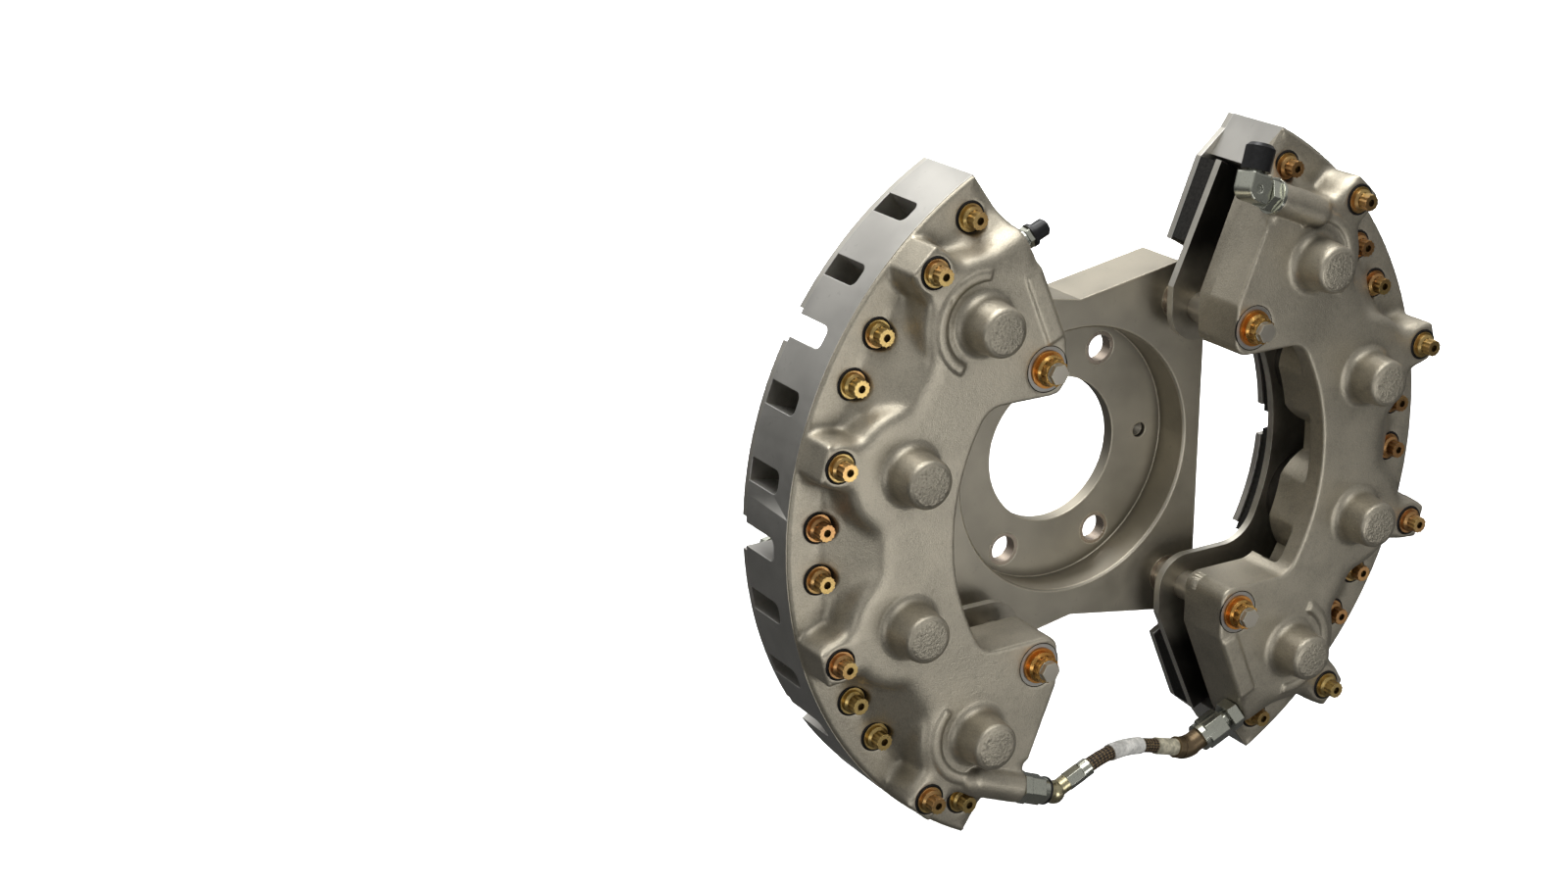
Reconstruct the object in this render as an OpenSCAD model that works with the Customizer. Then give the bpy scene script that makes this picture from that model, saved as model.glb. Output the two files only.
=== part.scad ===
// Aircraft wheel brake: a torque plate that bolts to the axle flange and two
// floating calipers that straddle the rim of one disc, joined by a short hose.
// The wheel axis is Y. The cast faces of the calipers look along -Y, +Z is up.
// The origin is the centre of the axle bore, on the face the axle flange seats on.
// Each caliper is drawn in its own frame: x out from the wheel axis, y up and
// z the depth behind the cast front face. The left one is the right one turned
// half a turn about the wheel axis.

/* [Layout] */
// Angle between neighbouring pistons
piston_step = 31; // [30.6:0.1:31.4]
// Distance of the anchor bolts from the axle centre plane
anchor_x = 57.3; // [56.5:0.1:58.5]
// Height of the anchor bolts above and below the axle
anchor_z = 70; // [69:0.1:71]
// Distance from the flange seat forward to the cast faces
seat_to_front = 73.4; // [71:0.1:76]

/* [Cylinder housing] */
// Outer radius of the machined wall
outer_r = 177.1; // [176:0.1:179]
// Step from the machined wall down to the cast rim
cast_step = 0.9; // [0.4:0.1:1.4]
// Depth at which the machined band begins
band_depth = 19.6; // [19:0.1:22]
// Depth of the cylinder block
block_depth = 27; // [26:0.1:28]
// Depth from the front face to the back plate seat
wall_depth = 54.1; // [53.5:0.1:56]
// Thickness of the wall, in to the space for the disc rim
wall_t = 21.7; // [20.9:0.1:22.5]
// Distance from the piston circle in to the inner edge of the front face
inner_edge = 28.1; // [27.1:0.1:29.6]
// Thickness of the front face along that edge
face_t = 10; // [8:0.1:12]
// Width of the face between that edge and the hollow behind it
edge_w = 12; // [8:0.1:14]
// Half height of the straight part of the inner edge
mouth_half = 57.2; // [56:0.1:58.5]
// Distance of the lug end faces from the axle centre plane
lug_face_x = 47.2; // [46:0.1:48]
// Height at which the lug end face turns into the slanted edge
lug_top = 81.9; // [81:0.1:83]
// Sideways run of the slanted edge per unit of height
edge_slope = 0.41; // [0.39:0.01:0.43]
// Height from the end of the wall down to the top of the slanted edge
edge_drop = 24.6; // [23.6:0.1:25.6]
// Half angle of the wall
wall_end = 61.5; // [61.2:0.1:62]
// Depth of the scalloped pockets round the tie bolts
pocket_depth = 18.2; // [17:0.1:19]
// Distance from the piston circle out to where the pockets start to fall away
pocket_start = 5.9; // [4:0.1:7]
// Slope of a pocket's ramp
ramp = 42; // [36:1:48]
// Radius of the brow above the ramp
ramp_brow = 7; // [4:0.1:9]
// Radius of the foot below the ramp
ramp_foot = 8; // [4:0.1:10]
// Half width of a radial lobe and radius of its round end
lobe_half = 11; // [10:0.1:11.6]
// Radius of a cylinder barrel at the front
barrel_r = 28.7; // [28.2:0.1:29.4]
// Radius of a cylinder barrel behind the face
barrel_back_r = 30.4; // [29.8:0.1:31]

/* [Domes and pads] */
// Height of the cylinder domes
dome_h = 17.6; // [16:0.1:19]
// Radius of a dome at its tip
dome_tip_r = 11.2; // [10.5:0.1:12]
// Radius of a dome above its root fillet
dome_root_r = 12.1; // [12:0.1:13]
// Radius of the fillet round a dome
dome_fillet = 4.2; // [3:0.1:5]
// Radius of the rounded rim of a dome
dome_round = 2.4; // [1.5:0.1:3]
// Outer radius of the raised pad beside the end domes
pad_r = 23.8; // [22.5:0.1:25]
// Width of that pad
pad_w = 4.6; // [3:0.1:6]
// Half angle that the pad spans
pad_half = 80; // [70:1:88]
// Height of the raised pads
pad_h = 1.2; // [0.8:0.1:1.6]
// Radius of the port bosses
port_boss_r = 7.6; // [7.2:0.1:8.2]
// Depth of the axis of the raised port
port_depth = 2.1; // [1.6:0.1:2.6]
// Depth of the axis of the sunk port
sunk_port_depth = 8.2; // [7.8:0.1:9]
// Height from the end of the wall down to the raised port
port_drop = 26.4; // [25.6:0.1:27.4]
// Height from the end of the wall down to the sunk port
sunk_port_drop = 28.6; // [27.6:0.1:29.6]

/* [Wall slots] */
// Width of a slot
slot_w = 10.8; // [9:0.1:11.6]
// Depth at which the slots begin
slot_start = 30.1; // [29:0.1:32]
// Radius of the corners of a slot
slot_corner = 3.6; // [2:0.1:4.4]

/* [Cylinders] */
// Radius of a cylinder bore
bore_r = 22.2; // [21:0.1:23]
// Distance from a cylinder bore out to the inside of the wall
bore_wall = 1.1; // [0.8:0.1:2]
// Depth at which a bore ends
bore_end = 5; // [4.5:0.1:6]
// Length of a piston
piston_len = 20; // [18:0.1:20.5]
// Radial clearance of a piston
piston_gap = 0.05; // [0.03:0.01:0.09]
// Width of a seal
seal_w = 3.4; // [2.8:0.1:3.8]
// Height of a seal
seal_h = 2.6; // [2:0.1:3]

/* [Plates and linings] */
// Thickness of the pressure plate
plate_t = 3.9; // [3.2:0.1:4.4]
// Thickness of the back plates
back_t = 3.6; // [3:0.1:4.4]
// Thickness of a lining
lining_t = 5.5; // [4.5:0.1:6]
// Gap between the two layers of lining
lining_gap = 0.1; // [0.05:0.01:0.3]
// Gap between a lining and the inside of the wall
lining_rim_gap = 2.9; // [2.4:0.1:5.4]
// Width of a lining across the disc
lining_w = 39; // [36.5:0.1:39.5]
// Width of a back plate inside its lining
back_lip = 1.1; // [0.6:0.1:2]
// Distance that the end plates reach past the slanted edge
plate_overhang = 3.8; // [2:0.1:4.4]
// Height from the end of the wall down to the top of that overhang
plate_top = 18.1; // [16:0.1:20]
// Height of the part of an end plate that is flush with the wall
plate_knee = 6.7; // [4:0.1:9]
// Gap between neighbouring back plates at the rim
back_split = 15.6; // [13:0.1:17]
// Gap between neighbouring linings
lining_split = 9; // [7:0.1:12]
// Radius of the pressure plate lugs
lug_r = 16; // [15:0.1:16.4]

/* [Tie bolts] */
// Distance of the bolts on the lobes in from the outside of the wall
tie_lobe_in = 9.1; // [8.6:0.1:9.6]
// Distance of the bolts in the pockets in from the outside of the wall
tie_pocket_in = 14.6; // [14.1:0.1:14.9]
// Angle from a pocket centre to its bolts
tie_half = 4.2; // [4:0.1:4.4]
// Radius of a tie bolt
tie_r = 3.1; // [2.8:0.1:3.3]
// Clearance round a tie bolt
tie_gap = 0.2; // [0.1:0.01:0.3]
// Radius of the washers
tie_washer_r = 6.2; // [5.9:0.1:6.5]
// Thickness of the washers
tie_washer_t = 1.2; // [1:0.1:1.5]
// Radius of the bolt flanges
tie_flange_r = 5.2; // [5:0.1:5.6]
// Height of a bolt head above its washer
tie_head_h = 7.2; // [6:0.1:8]

/* [Anchor bolts] */
// Radius of an anchor pin
pin_r = 7.15; // [6.8:0.05:7.5]
// Radius of the anchor bolt shank in the housing
shank_r = 4.75; // [4.4:0.05:5]
// Radial clearance of the anchor pins
pin_gap = 0.05; // [0.03:0.01:0.09]
// Length of the pins behind the torque plate
pin_tail = 8; // [7.5:0.1:12]
// Outer radius of the anchor bushings
bushing_r = 9.5; // [9:0.1:10]
// Radius of the anchor washers
anchor_washer_r = 8.4; // [8:0.1:9]
// Thickness of the anchor washers
anchor_washer_t = 1.4; // [1:0.1:1.8]
// Height of the anchor nuts
anchor_nut_h = 6; // [5:0.1:6.5]

/* [Torque plate] */
// Radius of the axle bore
axle_bore_r = 35.7; // [34:0.1:37]
// Thickness of the web at the flange seat
web_t = 6.5; // [5.5:0.1:7.5]
// Radius of the recess for the axle flange
recess_r = 64.3; // [63.5:0.1:65]
// Depth of that recess
recess_depth = 18.8; // [18:0.1:20]
// Height of the rim behind the web
rear_lip = 2.7; // [2:0.1:3.5]
// Half width of the torque plate
torque_half_w = 73.5; // [73:0.1:74]
// Half height at the corners
torque_half_h = 88.6; // [88:0.1:89]
// Height of the middle of the top edge
torque_waist = 78.6; // [77.5:0.1:80]
// Radius of the circle through the axle bolts
axle_bolt_r = 52.9; // [52:0.1:54]
// Inner radius of the axle bolt bushings
axle_hole_r = 6.35; // [6:0.05:6.6]
// Outer radius of the axle bolt bushings
axle_bushing_r = 8; // [7.6:0.1:8.4]
// Distance of the blind hole from the wheel axis
blind_hole_x = 51.9; // [50:0.1:54]
// Radius of the blind hole
blind_hole_r = 3.7; // [3:0.1:4]
// Depth of the blind hole above its drilled point
blind_hole_depth = 3; // [2:0.1:3.4]

/* [Fittings and hose] */
// Radius of the port threads
port_r = 4.4; // [4:0.1:4.8]
// Depth of a threaded port
port_len = 14; // [12:0.1:15]
// Radius of the hose
hose_r = 3.45; // [3:0.05:3.8]
// Radius of the marker sleeve
sleeve_r = 4; // [3.9:0.05:4.6]

/* [Hidden] */
$fn = 96;

// Small overlap that joins solids and lets cutters run past a face
e = 0.05;
over = 2;
cast = "#a39c92";
machined = "#b7b3ab";
gold = "#b98a3c";
zinc = "#c2c4b4";
// Radii that follow from the outside of the wall inwards
wall_inner_r = outer_r - wall_t;
piston_pitch_r = wall_inner_r - bore_r - bore_wall;
inner_r = piston_pitch_r - inner_edge;
hollow_r = inner_r + edge_w;
pocket_r = piston_pitch_r + pocket_start;
tie_lobe_r = outer_r - tie_lobe_in;
tie_pocket_r = outer_r - tie_pocket_in;
lining_out_r = wall_inner_r - lining_rim_gap;
lining_in_r = lining_out_r - lining_w;
back_in_r = lining_in_r - back_lip;
piston_angles = [for (i = [0:3]) (i - 1.5) * piston_step];
pocket_angles = [for (i = [-1:1]) i * piston_step];
end_bolt = 2 * piston_step - tie_half;
lobe_bolts = [for (a = piston_angles) [tie_lobe_r, a, 0]];
pocket_bolts = [for (a = pocket_angles, s = [-1, 1]) [tie_pocket_r, a + s * tie_half, pocket_depth]];
end_bolts = [for (s = [-1, 1]) [tie_pocket_r, s * end_bolt, pocket_depth]];
ties = concat(lobe_bolts, pocket_bolts, end_bolts);
// Slots lie midway between neighbouring tie bolts
near_mid = (tie_half + piston_step / 2) / 2;
slot_angles = [0, for (s = [-1, 1], a = [near_mid, piston_step - near_mid, piston_step,
    piston_step + near_mid, 2 * piston_step - near_mid]) s * a];
end_x = outer_r * cos(wall_end);
end_z = outer_r * sin(wall_end);
edge_top = end_z - edge_drop;
edge_x = slant_x(edge_top);
edge_angle = atan(edge_slope);
tie_back = wall_depth + back_t;
// Depths of the stack, from the back plate forward
lining_face = wall_depth - lining_t;
plate_back = lining_face - lining_gap - lining_t;
plate_front = plate_back - plate_t;
spot_depth = 0.5;
spot_gap = 0.8;
seat_gap = 0.02;
bush_front = seat_to_front - recess_depth;
bush_back = seat_to_front + web_t + rear_lip;
mouth_fillet = 12;
port_inset = 0.2;
port_proud = 0.5;
// Raised pads: turn of each pad and of the dimple in it, top end first
pad_turn = [-11.5, 27.5];
dimple_turn = [53, -19];
dimple_r = 1.1;
strip_len = 34;
strip_w = 8;
drill_r = 1.6;
drill_len = 30;
elbow_reach = 15;
elbow_tip = -10;
elbow_ball = 0.4;
// Hose ends: bores, the thread inside each nut, the seal ring and the two legs
fluid_r = 2;
thread_len = 8;
ring_t = 0.9;
left_leg = 8;
right_leg = 7;
bend_r = 9;
adapter_r = port_r + 3.4;

function port_z(s) = end_z - (s > 0 ? port_drop : sunk_port_drop);
function port_x(s) = slant_x(port_z(s)) + port_inset;
function axis_depth(s) = s > 0 ? port_depth : sunk_port_depth;
function slant_x(z) = lug_face_x + edge_slope * (z - lug_top);
function end_line_x(drop) = end_x - drop * (end_x - edge_x) / edge_drop;

// Ends of the end plates: past the slanted edge, across the corner, flush with the wall
plate_points = [[lug_face_x - plate_overhang, lug_top],
    [slant_x(end_z - plate_top) - plate_overhang, end_z - plate_top],
    [end_line_x(plate_knee), end_z - plate_knee]];

// Swaps depth and height, and moves depth 0 to the cast front face
module caliper_frame(left) {
    rotate([0, left ? 180 : 0, 0])
        translate([0, -seat_to_front, 0])
            mirror([0, 1, 0])
                rotate([90, 0, 0])
                    children();
}

module slab(from, to) {
    translate([0, 0, from])
        linear_extrude(to - from)
            children();
}

module polar(r, a) {
    rotate([0, 0, a])
        translate([r, 0, 0])
            children();
}

// Region between the two slanted ends of a caliper; the points run up from the lug
module between_ends(points = [[lug_face_x, lug_top], [edge_x, edge_top]]) {
    far = 1.4 * outer_r;
    half = concat([[points[0][0], 0]], points,
        [[end_x, end_z], [far * cos(wall_end), far * sin(wall_end)], [far, far]]);
    n = len(half);
    lower = [for (i = [n - 1:-1:1]) [half[i][0], -half[i][1]]];
    polygon(concat(half, lower));
}

// Open mouth on the inner side: straight near the lugs, an arc in the middle
module mouth(r, half, fillet) {
    reach = r - fillet;
    rise = half - fillet;
    run = sqrt(reach * reach - rise * rise);
    a = atan2(rise, run);
    translate([0, -half])
        square([run, 2 * half]);
    for (s = [-1, 1])
        translate([run, s * rise])
            circle(fillet);
    intersection() {
        circle(r);
        polygon([[0, 0], [2 * r * cos(a), -2 * r * sin(a)], [2 * r * cos(a), 2 * r * sin(a)]]);
    }
}

module lug_rounding(r) {
    for (s = [-1, 1])
        translate([lug_face_x, s * mouth_half])
            difference() {
                translate([-over, s > 0 ? -over : -r])
                    square([r + over, r + over]);
                translate([r, s * r])
                    circle(r);
            }
}

module block_outline(r) {
    difference() {
        intersection() {
            circle(r);
            between_ends();
        }
        mouth(inner_r, mouth_half, mouth_fillet);
        lug_rounding(7);
    }
}

// Hollow between the barrels, behind the front face
module hollow() {
    difference() {
        intersection() {
            circle(hollow_r);
            rotate([0, 0, -piston_step - 1])
                square([2 * hollow_r, 2 * hollow_r]);
            rotate([0, 0, piston_step + 1 - 90])
                square([2 * hollow_r, 2 * hollow_r]);
        }
        for (a = piston_angles)
            polar(piston_pitch_r, a)
                circle(barrel_back_r);
    }
}

// Ring that falls from the front face to the pocket floor: brow, straight ramp, foot
module pocket_ring() {
    steps = 4;
    ramp_run = (pocket_depth - (ramp_brow + ramp_foot) * (1 - cos(ramp))) / tan(ramp);
    far = pocket_r + (ramp_brow + ramp_foot) * sin(ramp) + ramp_run;
    brow = [for (i = [0:steps]) let (a = ramp * i / steps)
        [pocket_r + ramp_brow * sin(a), ramp_brow * (1 - cos(a))]];
    foot = [for (i = [0:steps]) let (a = ramp * (1 - i / steps))
        [far - ramp_foot * sin(a), pocket_depth - ramp_foot * (1 - cos(a))]];
    rotate_extrude()
        polygon(concat([[pocket_r, -over]], brow, foot,
            [[outer_r + over, pocket_depth], [outer_r + over, -over]]));
}

// Arm that carries a bolt, with a round end about it
module lobe() {
    slab(-2 * over, pocket_depth + over) {
        translate([piston_pitch_r, -lobe_half])
            square([tie_lobe_r - piston_pitch_r, 2 * lobe_half]);
        translate([tie_lobe_r, 0])
            circle(lobe_half);
    }
}

module pockets() {
    difference() {
        pocket_ring();
        for (a = piston_angles) {
            rotate([0, 0, a])
                lobe();
            polar(piston_pitch_r, a)
                translate([0, 0, -2 * over])
                    cylinder(h = pocket_depth + 4 * over, r1 = barrel_r, r2 = barrel_back_r + 0.6);
        }
    }
}

module dome() {
    steps = 5;
    root = [for (i = [0:steps]) let (a = 90 * i / steps)
        [dome_root_r + dome_fillet * (1 - sin(a)), -dome_fillet * (1 - cos(a))]];
    rim = [for (i = [0:steps]) let (a = 90 * i / steps)
        [dome_tip_r - dome_round * (1 - cos(a)), -dome_h + dome_round * (1 - sin(a)) + 0.6]];
    rotate_extrude()
        polygon(concat([[0, over], [dome_root_r + dome_fillet, over]], root, rim,
            [[0, -dome_h]]));
}

// Raised arc beside an end dome, centred on turn, with a small dimple in it
module arc_pad(turn, dimple) {
    big = pad_r + over;
    rotate([0, 0, turn])
        difference() {
            slab(-pad_h, over)
                difference() {
                    circle(pad_r);
                    circle(pad_r - pad_w);
                    for (s = [-1, 1])
                        rotate([0, 0, s * pad_half])
                            translate([-big, s > 0 ? 0 : -big])
                                square([2 * big, big]);
                }
            rotate([0, 0, dimple])
                translate([pad_r - pad_w / 2, 0, -pad_h - over])
                    cylinder(h = over + 0.7, r = dimple_r);
        }
}

// Flat raised strip along one slanted edge
module edge_strip() {
    translate([lug_face_x, -lug_top, 0])
        rotate([0, 0, -90 + edge_angle])
            translate([3, 1.2, 0])
                slab(-pad_h * 0.7, over)
                    square([strip_len, strip_w]);
}

// Places its children on a port axis: x points out of the boss
module at_port(s) {
    translate([port_x(s), s * port_z(s), axis_depth(s)])
        rotate([0, 0, s > 0 ? 180 - edge_angle : 180 + edge_angle])
            children();
}

// Only the raised port shows a round end on the front face
module port_boss(raised) {
    translate([-26, 0, 0])
        rotate([0, 90, 0])
            cylinder(h = 26 + port_proud, r = port_boss_r);
    if (raised)
        translate([-26, 0, 0])
            sphere(port_boss_r);
}

// Drilling from the foot of the port into the cylinder bore
module port_drilling(s) {
    foot = 12;
    run = 15;
    drop = max(0, bore_end + 2.5 - axis_depth(s));
    translate([-foot, 0, 0])
        rotate([0, atan2(-run, drop), 0])
            cylinder(h = sqrt(run * run + drop * drop), r = drill_r);
}

module port_hole() {
    translate([-port_len, 0, 0])
        rotate([0, 90, 0])
            cylinder(h = port_len + port_proud + over, r = port_r + seat_gap);
}

module slot(a) {
    through = wall_t + 2 * over;
    deep = wall_depth - slot_start;
    polar(wall_inner_r - over, a)
        translate([0, 0, slot_start]) {
            for (s = [-1, 1])
                translate([0, s * (slot_w / 2 - slot_corner), slot_corner])
                    rotate([0, 90, 0])
                        cylinder(h = through, r = slot_corner);
            translate([0, slot_corner - slot_w / 2, 0])
                cube([through, slot_w - 2 * slot_corner, deep + over]);
            translate([0, -slot_w / 2, slot_corner])
                cube([through, slot_w, deep - slot_corner + over]);
        }
}

module cylinder_bore() {
    translate([0, 0, bore_end])
        cylinder(h = block_depth - bore_end + over, r = bore_r);
    translate([0, 0, block_depth - 4 - seal_w])
        cylinder(h = seal_w, r = bore_r + seal_h);
}

module housing() {
    color(cast)
        difference() {
            union() {
                difference() {
                    union() {
                        slab(0, band_depth)
                            block_outline(outer_r - cast_step);
                        slab(band_depth - e, block_depth)
                            block_outline(outer_r);
                    }
                    slab(face_t, block_depth + over)
                        hollow();
                    pockets();
                }
                slab(block_depth - 1, wall_depth)
                    intersection() {
                        difference() {
                            circle(outer_r);
                            circle(wall_inner_r);
                        }
                        between_ends();
                    }
                for (a = piston_angles)
                    polar(piston_pitch_r, a)
                        dome();
                for (s = [-1, 1]) {
                    at_port(s)
                        port_boss(s > 0);
                    polar(piston_pitch_r, s * 1.5 * piston_step)
                        arc_pad(pad_turn[s > 0 ? 0 : 1], dimple_turn[s > 0 ? 0 : 1]);
                }
                edge_strip();
            }
            for (a = piston_angles)
                polar(piston_pitch_r, a)
                    cylinder_bore();
            // Drilled passages from bore to bore
            for (a = pocket_angles)
                rotate([0, 0, a])
                    translate([piston_pitch_r * cos(piston_step / 2), 0, bore_end + 2.5])
                        rotate([90, 0, 0])
                            cylinder(h = drill_len, r = drill_r, center = true);
            for (s = [-1, 1]) {
                at_port(s)
                    port_hole();
                at_port(s)
                    port_drilling(s);
                translate([anchor_x, s * anchor_z, -spot_depth]) {
                    cylinder(h = 2 * spot_depth, r = anchor_washer_r + 2.2);
                    translate([0, 0, -over])
                        cylinder(h = block_depth + 3 * over, r = shank_r + pin_gap);
                }
            }
            for (t = ties)
                polar(t[0], t[1]) {
                    translate([0, 0, -over])
                        cylinder(h = t[2] + spot_depth + over, r = tie_washer_r + spot_gap);
                    translate([0, 0, t[2] - over])
                        cylinder(h = wall_depth - t[2] + 2 * over, r = tie_r + tie_gap);
                }
            for (a = slot_angles)
                slot(a);
        }
}

// Sector centred on a piston, its straight sides half a split short of the next
module pad_sector(a, r_in, r_out, split) {
    half = piston_step / 2;
    reach = 2 * r_out;
    rotate([0, 0, a])
        difference() {
            circle(r_out);
            circle(r_in);
            for (s = [-1, 1])
                rotate([0, 0, s * half])
                    translate([-reach, s > 0 ? -split / 2 : split / 2 - reach])
                        square([2 * reach, reach]);
        }
}

// The three-bolt plate behind one piston; end plates run on past their last bolt
module plate_outline(i, r_in, r_out, split) {
    outer = i == 0 || i == 3;
    a = piston_angles[i];
    if (outer)
        intersection() {
            between_ends(plate_points);
            difference() {
                circle(r_out);
                circle(r_in);
            }
            rotate([0, 0, i == 3 ? piston_step : -piston_step])
                translate([0, i == 3 ? split / 2 : -split / 2 - 2 * r_out])
                    square([2 * r_out, 2 * r_out]);
        }
    else
        pad_sector(a, r_in, r_out, split);
}

module back_plates() {
    color(machined)
        difference() {
            for (i = [0:3])
                slab(wall_depth, tie_back)
                    plate_outline(i, back_in_r, outer_r - 0.3, back_split);
            for (t = ties)
                polar(t[0], t[1])
                    translate([0, 0, wall_depth - over])
                        cylinder(h = back_t + 2 * over, r = tie_r + tie_gap);
        }
}

module linings(from) {
    color("#2b2927")
        for (i = [0:3])
            slab(from, from + lining_t)
                plate_outline(i, lining_in_r, lining_out_r, lining_split);
}

module twelve_point(h, r) {
    for (a = [0, 30])
        rotate([0, 0, a])
            cylinder(h = h, r = r, $fn = 6);
}

module tie_bolt(depth) {
    seat = depth + spot_depth - tie_washer_t;
    head_r = tie_r + 0.9;
    difference() {
        union() {
            translate([0, 0, seat - 1.7])
                cylinder(h = 1.7, r = tie_flange_r);
            translate([0, 0, seat - 2.5])
                cylinder(h = 0.85, r1 = head_r, r2 = tie_flange_r);
            translate([0, 0, seat - tie_head_h])
                twelve_point(tie_head_h - 2, head_r);
            translate([0, 0, seat - e])
                cylinder(h = tie_back + 5.4 - seat, r = tie_r);
        }
        translate([0, 0, seat - tie_head_h - over])
            cylinder(h = over + 2.4, r = tie_r * 0.55);
    }
}

module tie_bolts() {
    color(gold)
        for (t = ties)
            polar(t[0], t[1])
                tie_bolt(t[2]);
}

module tie_washers() {
    color("#d0b070")
        for (t = ties)
            polar(t[0], t[1])
                translate([0, 0, t[2] + spot_depth - tie_washer_t])
                    difference() {
                        cylinder(h = tie_washer_t, r = tie_washer_r);
                        translate([0, 0, -over])
                            cylinder(h = tie_washer_t + 2 * over, r = tie_r + tie_gap);
                    }
}

module tie_nuts() {
    color(zinc)
        for (t = ties)
            polar(t[0], t[1])
                translate([0, 0, tie_back])
                    difference() {
                        union() {
                            cylinder(h = 1.2, r = tie_flange_r + 0.5);
                            cylinder(h = 4.8, r = tie_r + 2.2, $fn = 6);
                        }
                        translate([0, 0, -over])
                            cylinder(h = 5 + 2 * over, r = tie_r + seat_gap);
                    }
}

module at_anchors() {
    for (s = [-1, 1])
        translate([anchor_x, s * anchor_z, 0])
            children();
}

module anchor_bolts() {
    nut_top = spot_depth - anchor_washer_t - anchor_nut_h;
    pin_end = bush_back + pin_tail;
    color("#b5ab98")
        at_anchors() {
            translate([0, 0, nut_top - 2.6])
                cylinder(h = 2.6 + e, r = shank_r, $fn = 6);
            translate([0, 0, nut_top])
                cylinder(h = block_depth - nut_top + e, r = shank_r);
            translate([0, 0, block_depth])
                cylinder(h = pin_end - 1 - block_depth, r = pin_r);
            translate([0, 0, pin_end - 1])
                cylinder(h = 1, r1 = pin_r, r2 = pin_r - 1);
        }
}

module anchor_washers() {
    color("#c07a2c")
        at_anchors()
            translate([0, 0, spot_depth - anchor_washer_t])
                difference() {
                    cylinder(h = anchor_washer_t, r = anchor_washer_r);
                    translate([0, 0, -over])
                        cylinder(h = anchor_washer_t + 2 * over, r = shank_r + pin_gap);
                }
}

module anchor_nuts() {
    seat = spot_depth - anchor_washer_t;
    color("#c98a35")
        at_anchors()
            difference() {
                union() {
                    translate([0, 0, seat - 1.8])
                        cylinder(h = 1.8, r = anchor_washer_r - 1.3);
                    translate([0, 0, seat - 2.8])
                        cylinder(h = 1.05, r1 = shank_r + 1.3, r2 = anchor_washer_r - 1.3);
                    translate([0, 0, seat - anchor_nut_h])
                        twelve_point(anchor_nut_h - 1.5, shank_r + 1.5);
                }
                translate([0, 0, seat - anchor_nut_h - over])
                    cylinder(h = anchor_nut_h + 2 * over, r = shank_r + seat_gap);
            }
}

// Plate that slides on both anchor pins and carries the front linings
module pressure_plate() {
    foot = anchor_x - lug_r;
    half = [[foot, anchor_z], [foot, lug_top], [edge_x, edge_top + 10],
        [lining_out_r * cos(wall_end) + 12, lining_out_r * sin(wall_end) + 20], [outer_r, outer_r]];
    n = len(half);
    lower = [for (i = [n - 1:-1:0]) [half[i][0], -half[i][1]]];
    color("#c4c1b8")
        difference() {
            slab(plate_front, plate_back)
                union() {
                    difference() {
                        intersection() {
                            circle(lining_out_r + 0.8);
                            polygon(concat(half, lower));
                        }
                        mouth(lining_in_r - 7, anchor_z - lug_r, 20);
                        translate([0, -anchor_z])
                            square([anchor_x, 2 * anchor_z]);
                    }
                    for (s = [-1, 1])
                        translate([anchor_x, s * anchor_z])
                            circle(lug_r);
                }
            at_anchors()
                translate([0, 0, plate_front - over])
                    cylinder(h = plate_t + 2 * over, r = pin_r + 0.1);
        }
}

module piston(i) {
    top = plate_front - seat_gap;
    color("#8d8a84")
        polar(piston_pitch_r, piston_angles[i])
            difference() {
                translate([0, 0, top - piston_len])
                    cylinder(h = piston_len, r = bore_r - piston_gap);
                translate([0, 0, top - piston_len - over])
                    cylinder(h = piston_len - 6, r = bore_r - 6);
            }
}

module seals() {
    color("#242220")
        for (a = piston_angles)
            polar(piston_pitch_r, a)
                translate([0, 0, block_depth - 4 - seal_w + seat_gap])
                    difference() {
                        cylinder(h = seal_w - 2 * seat_gap, r = bore_r + seal_h - seat_gap);
                        translate([0, 0, -over])
                            cylinder(h = seal_w + 2 * over, r = bore_r + seat_gap);
                    }
}

module torque_outline() {
    corner = 57;
    side_h = 80;
    half = [[0, torque_waist], [corner, torque_half_h], [torque_half_w, side_h]];
    right = concat(half, [for (i = [2:-1:0]) [half[i][0], -half[i][1]]]);
    polygon(concat(right, [for (i = [4:-1:1]) [-right[i][0], right[i][1]]]));
}

// Drawn with z as depth from the flange seat
module torque_plate() {
    back = web_t + rear_lip;
    color("#8f897d")
        mirror([0, 1, 0])
            rotate([90, 0, 0])
                difference() {
                    slab(-recess_depth, back)
                        torque_outline();
                    translate([0, 0, -recess_depth - over])
                        cylinder(h = recess_depth + over, r = recess_r);
                    translate([0, 0, -recess_depth - e])
                        cylinder(h = 1 + e, r1 = recess_r + 1, r2 = recess_r);
                    translate([0, 0, -over])
                        cylinder(h = web_t + rear_lip + 2 * over, r = axle_bore_r);
                    translate([0, 0, web_t])
                        cylinder(h = rear_lip + over, r = recess_r);
                    for (a = [60, 120, 240, 300])
                        polar(axle_bolt_r, a)
                            translate([0, 0, -over])
                                cylinder(h = web_t + 2 * over, r = axle_bushing_r + seat_gap);
                    translate([blind_hole_x, 0, -over])
                        cylinder(h = blind_hole_depth + over, r = blind_hole_r);
                    translate([blind_hole_x, 0, blind_hole_depth - e])
                        cylinder(h = blind_hole_r / 2, r1 = blind_hole_r, r2 = 0.3);
                    for (x = [-1, 1], y = [-1, 1])
                        translate([x * anchor_x, y * anchor_z, -recess_depth - over])
                            cylinder(h = recess_depth + back + 2 * over, r = bushing_r + seat_gap);
                }
}

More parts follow.
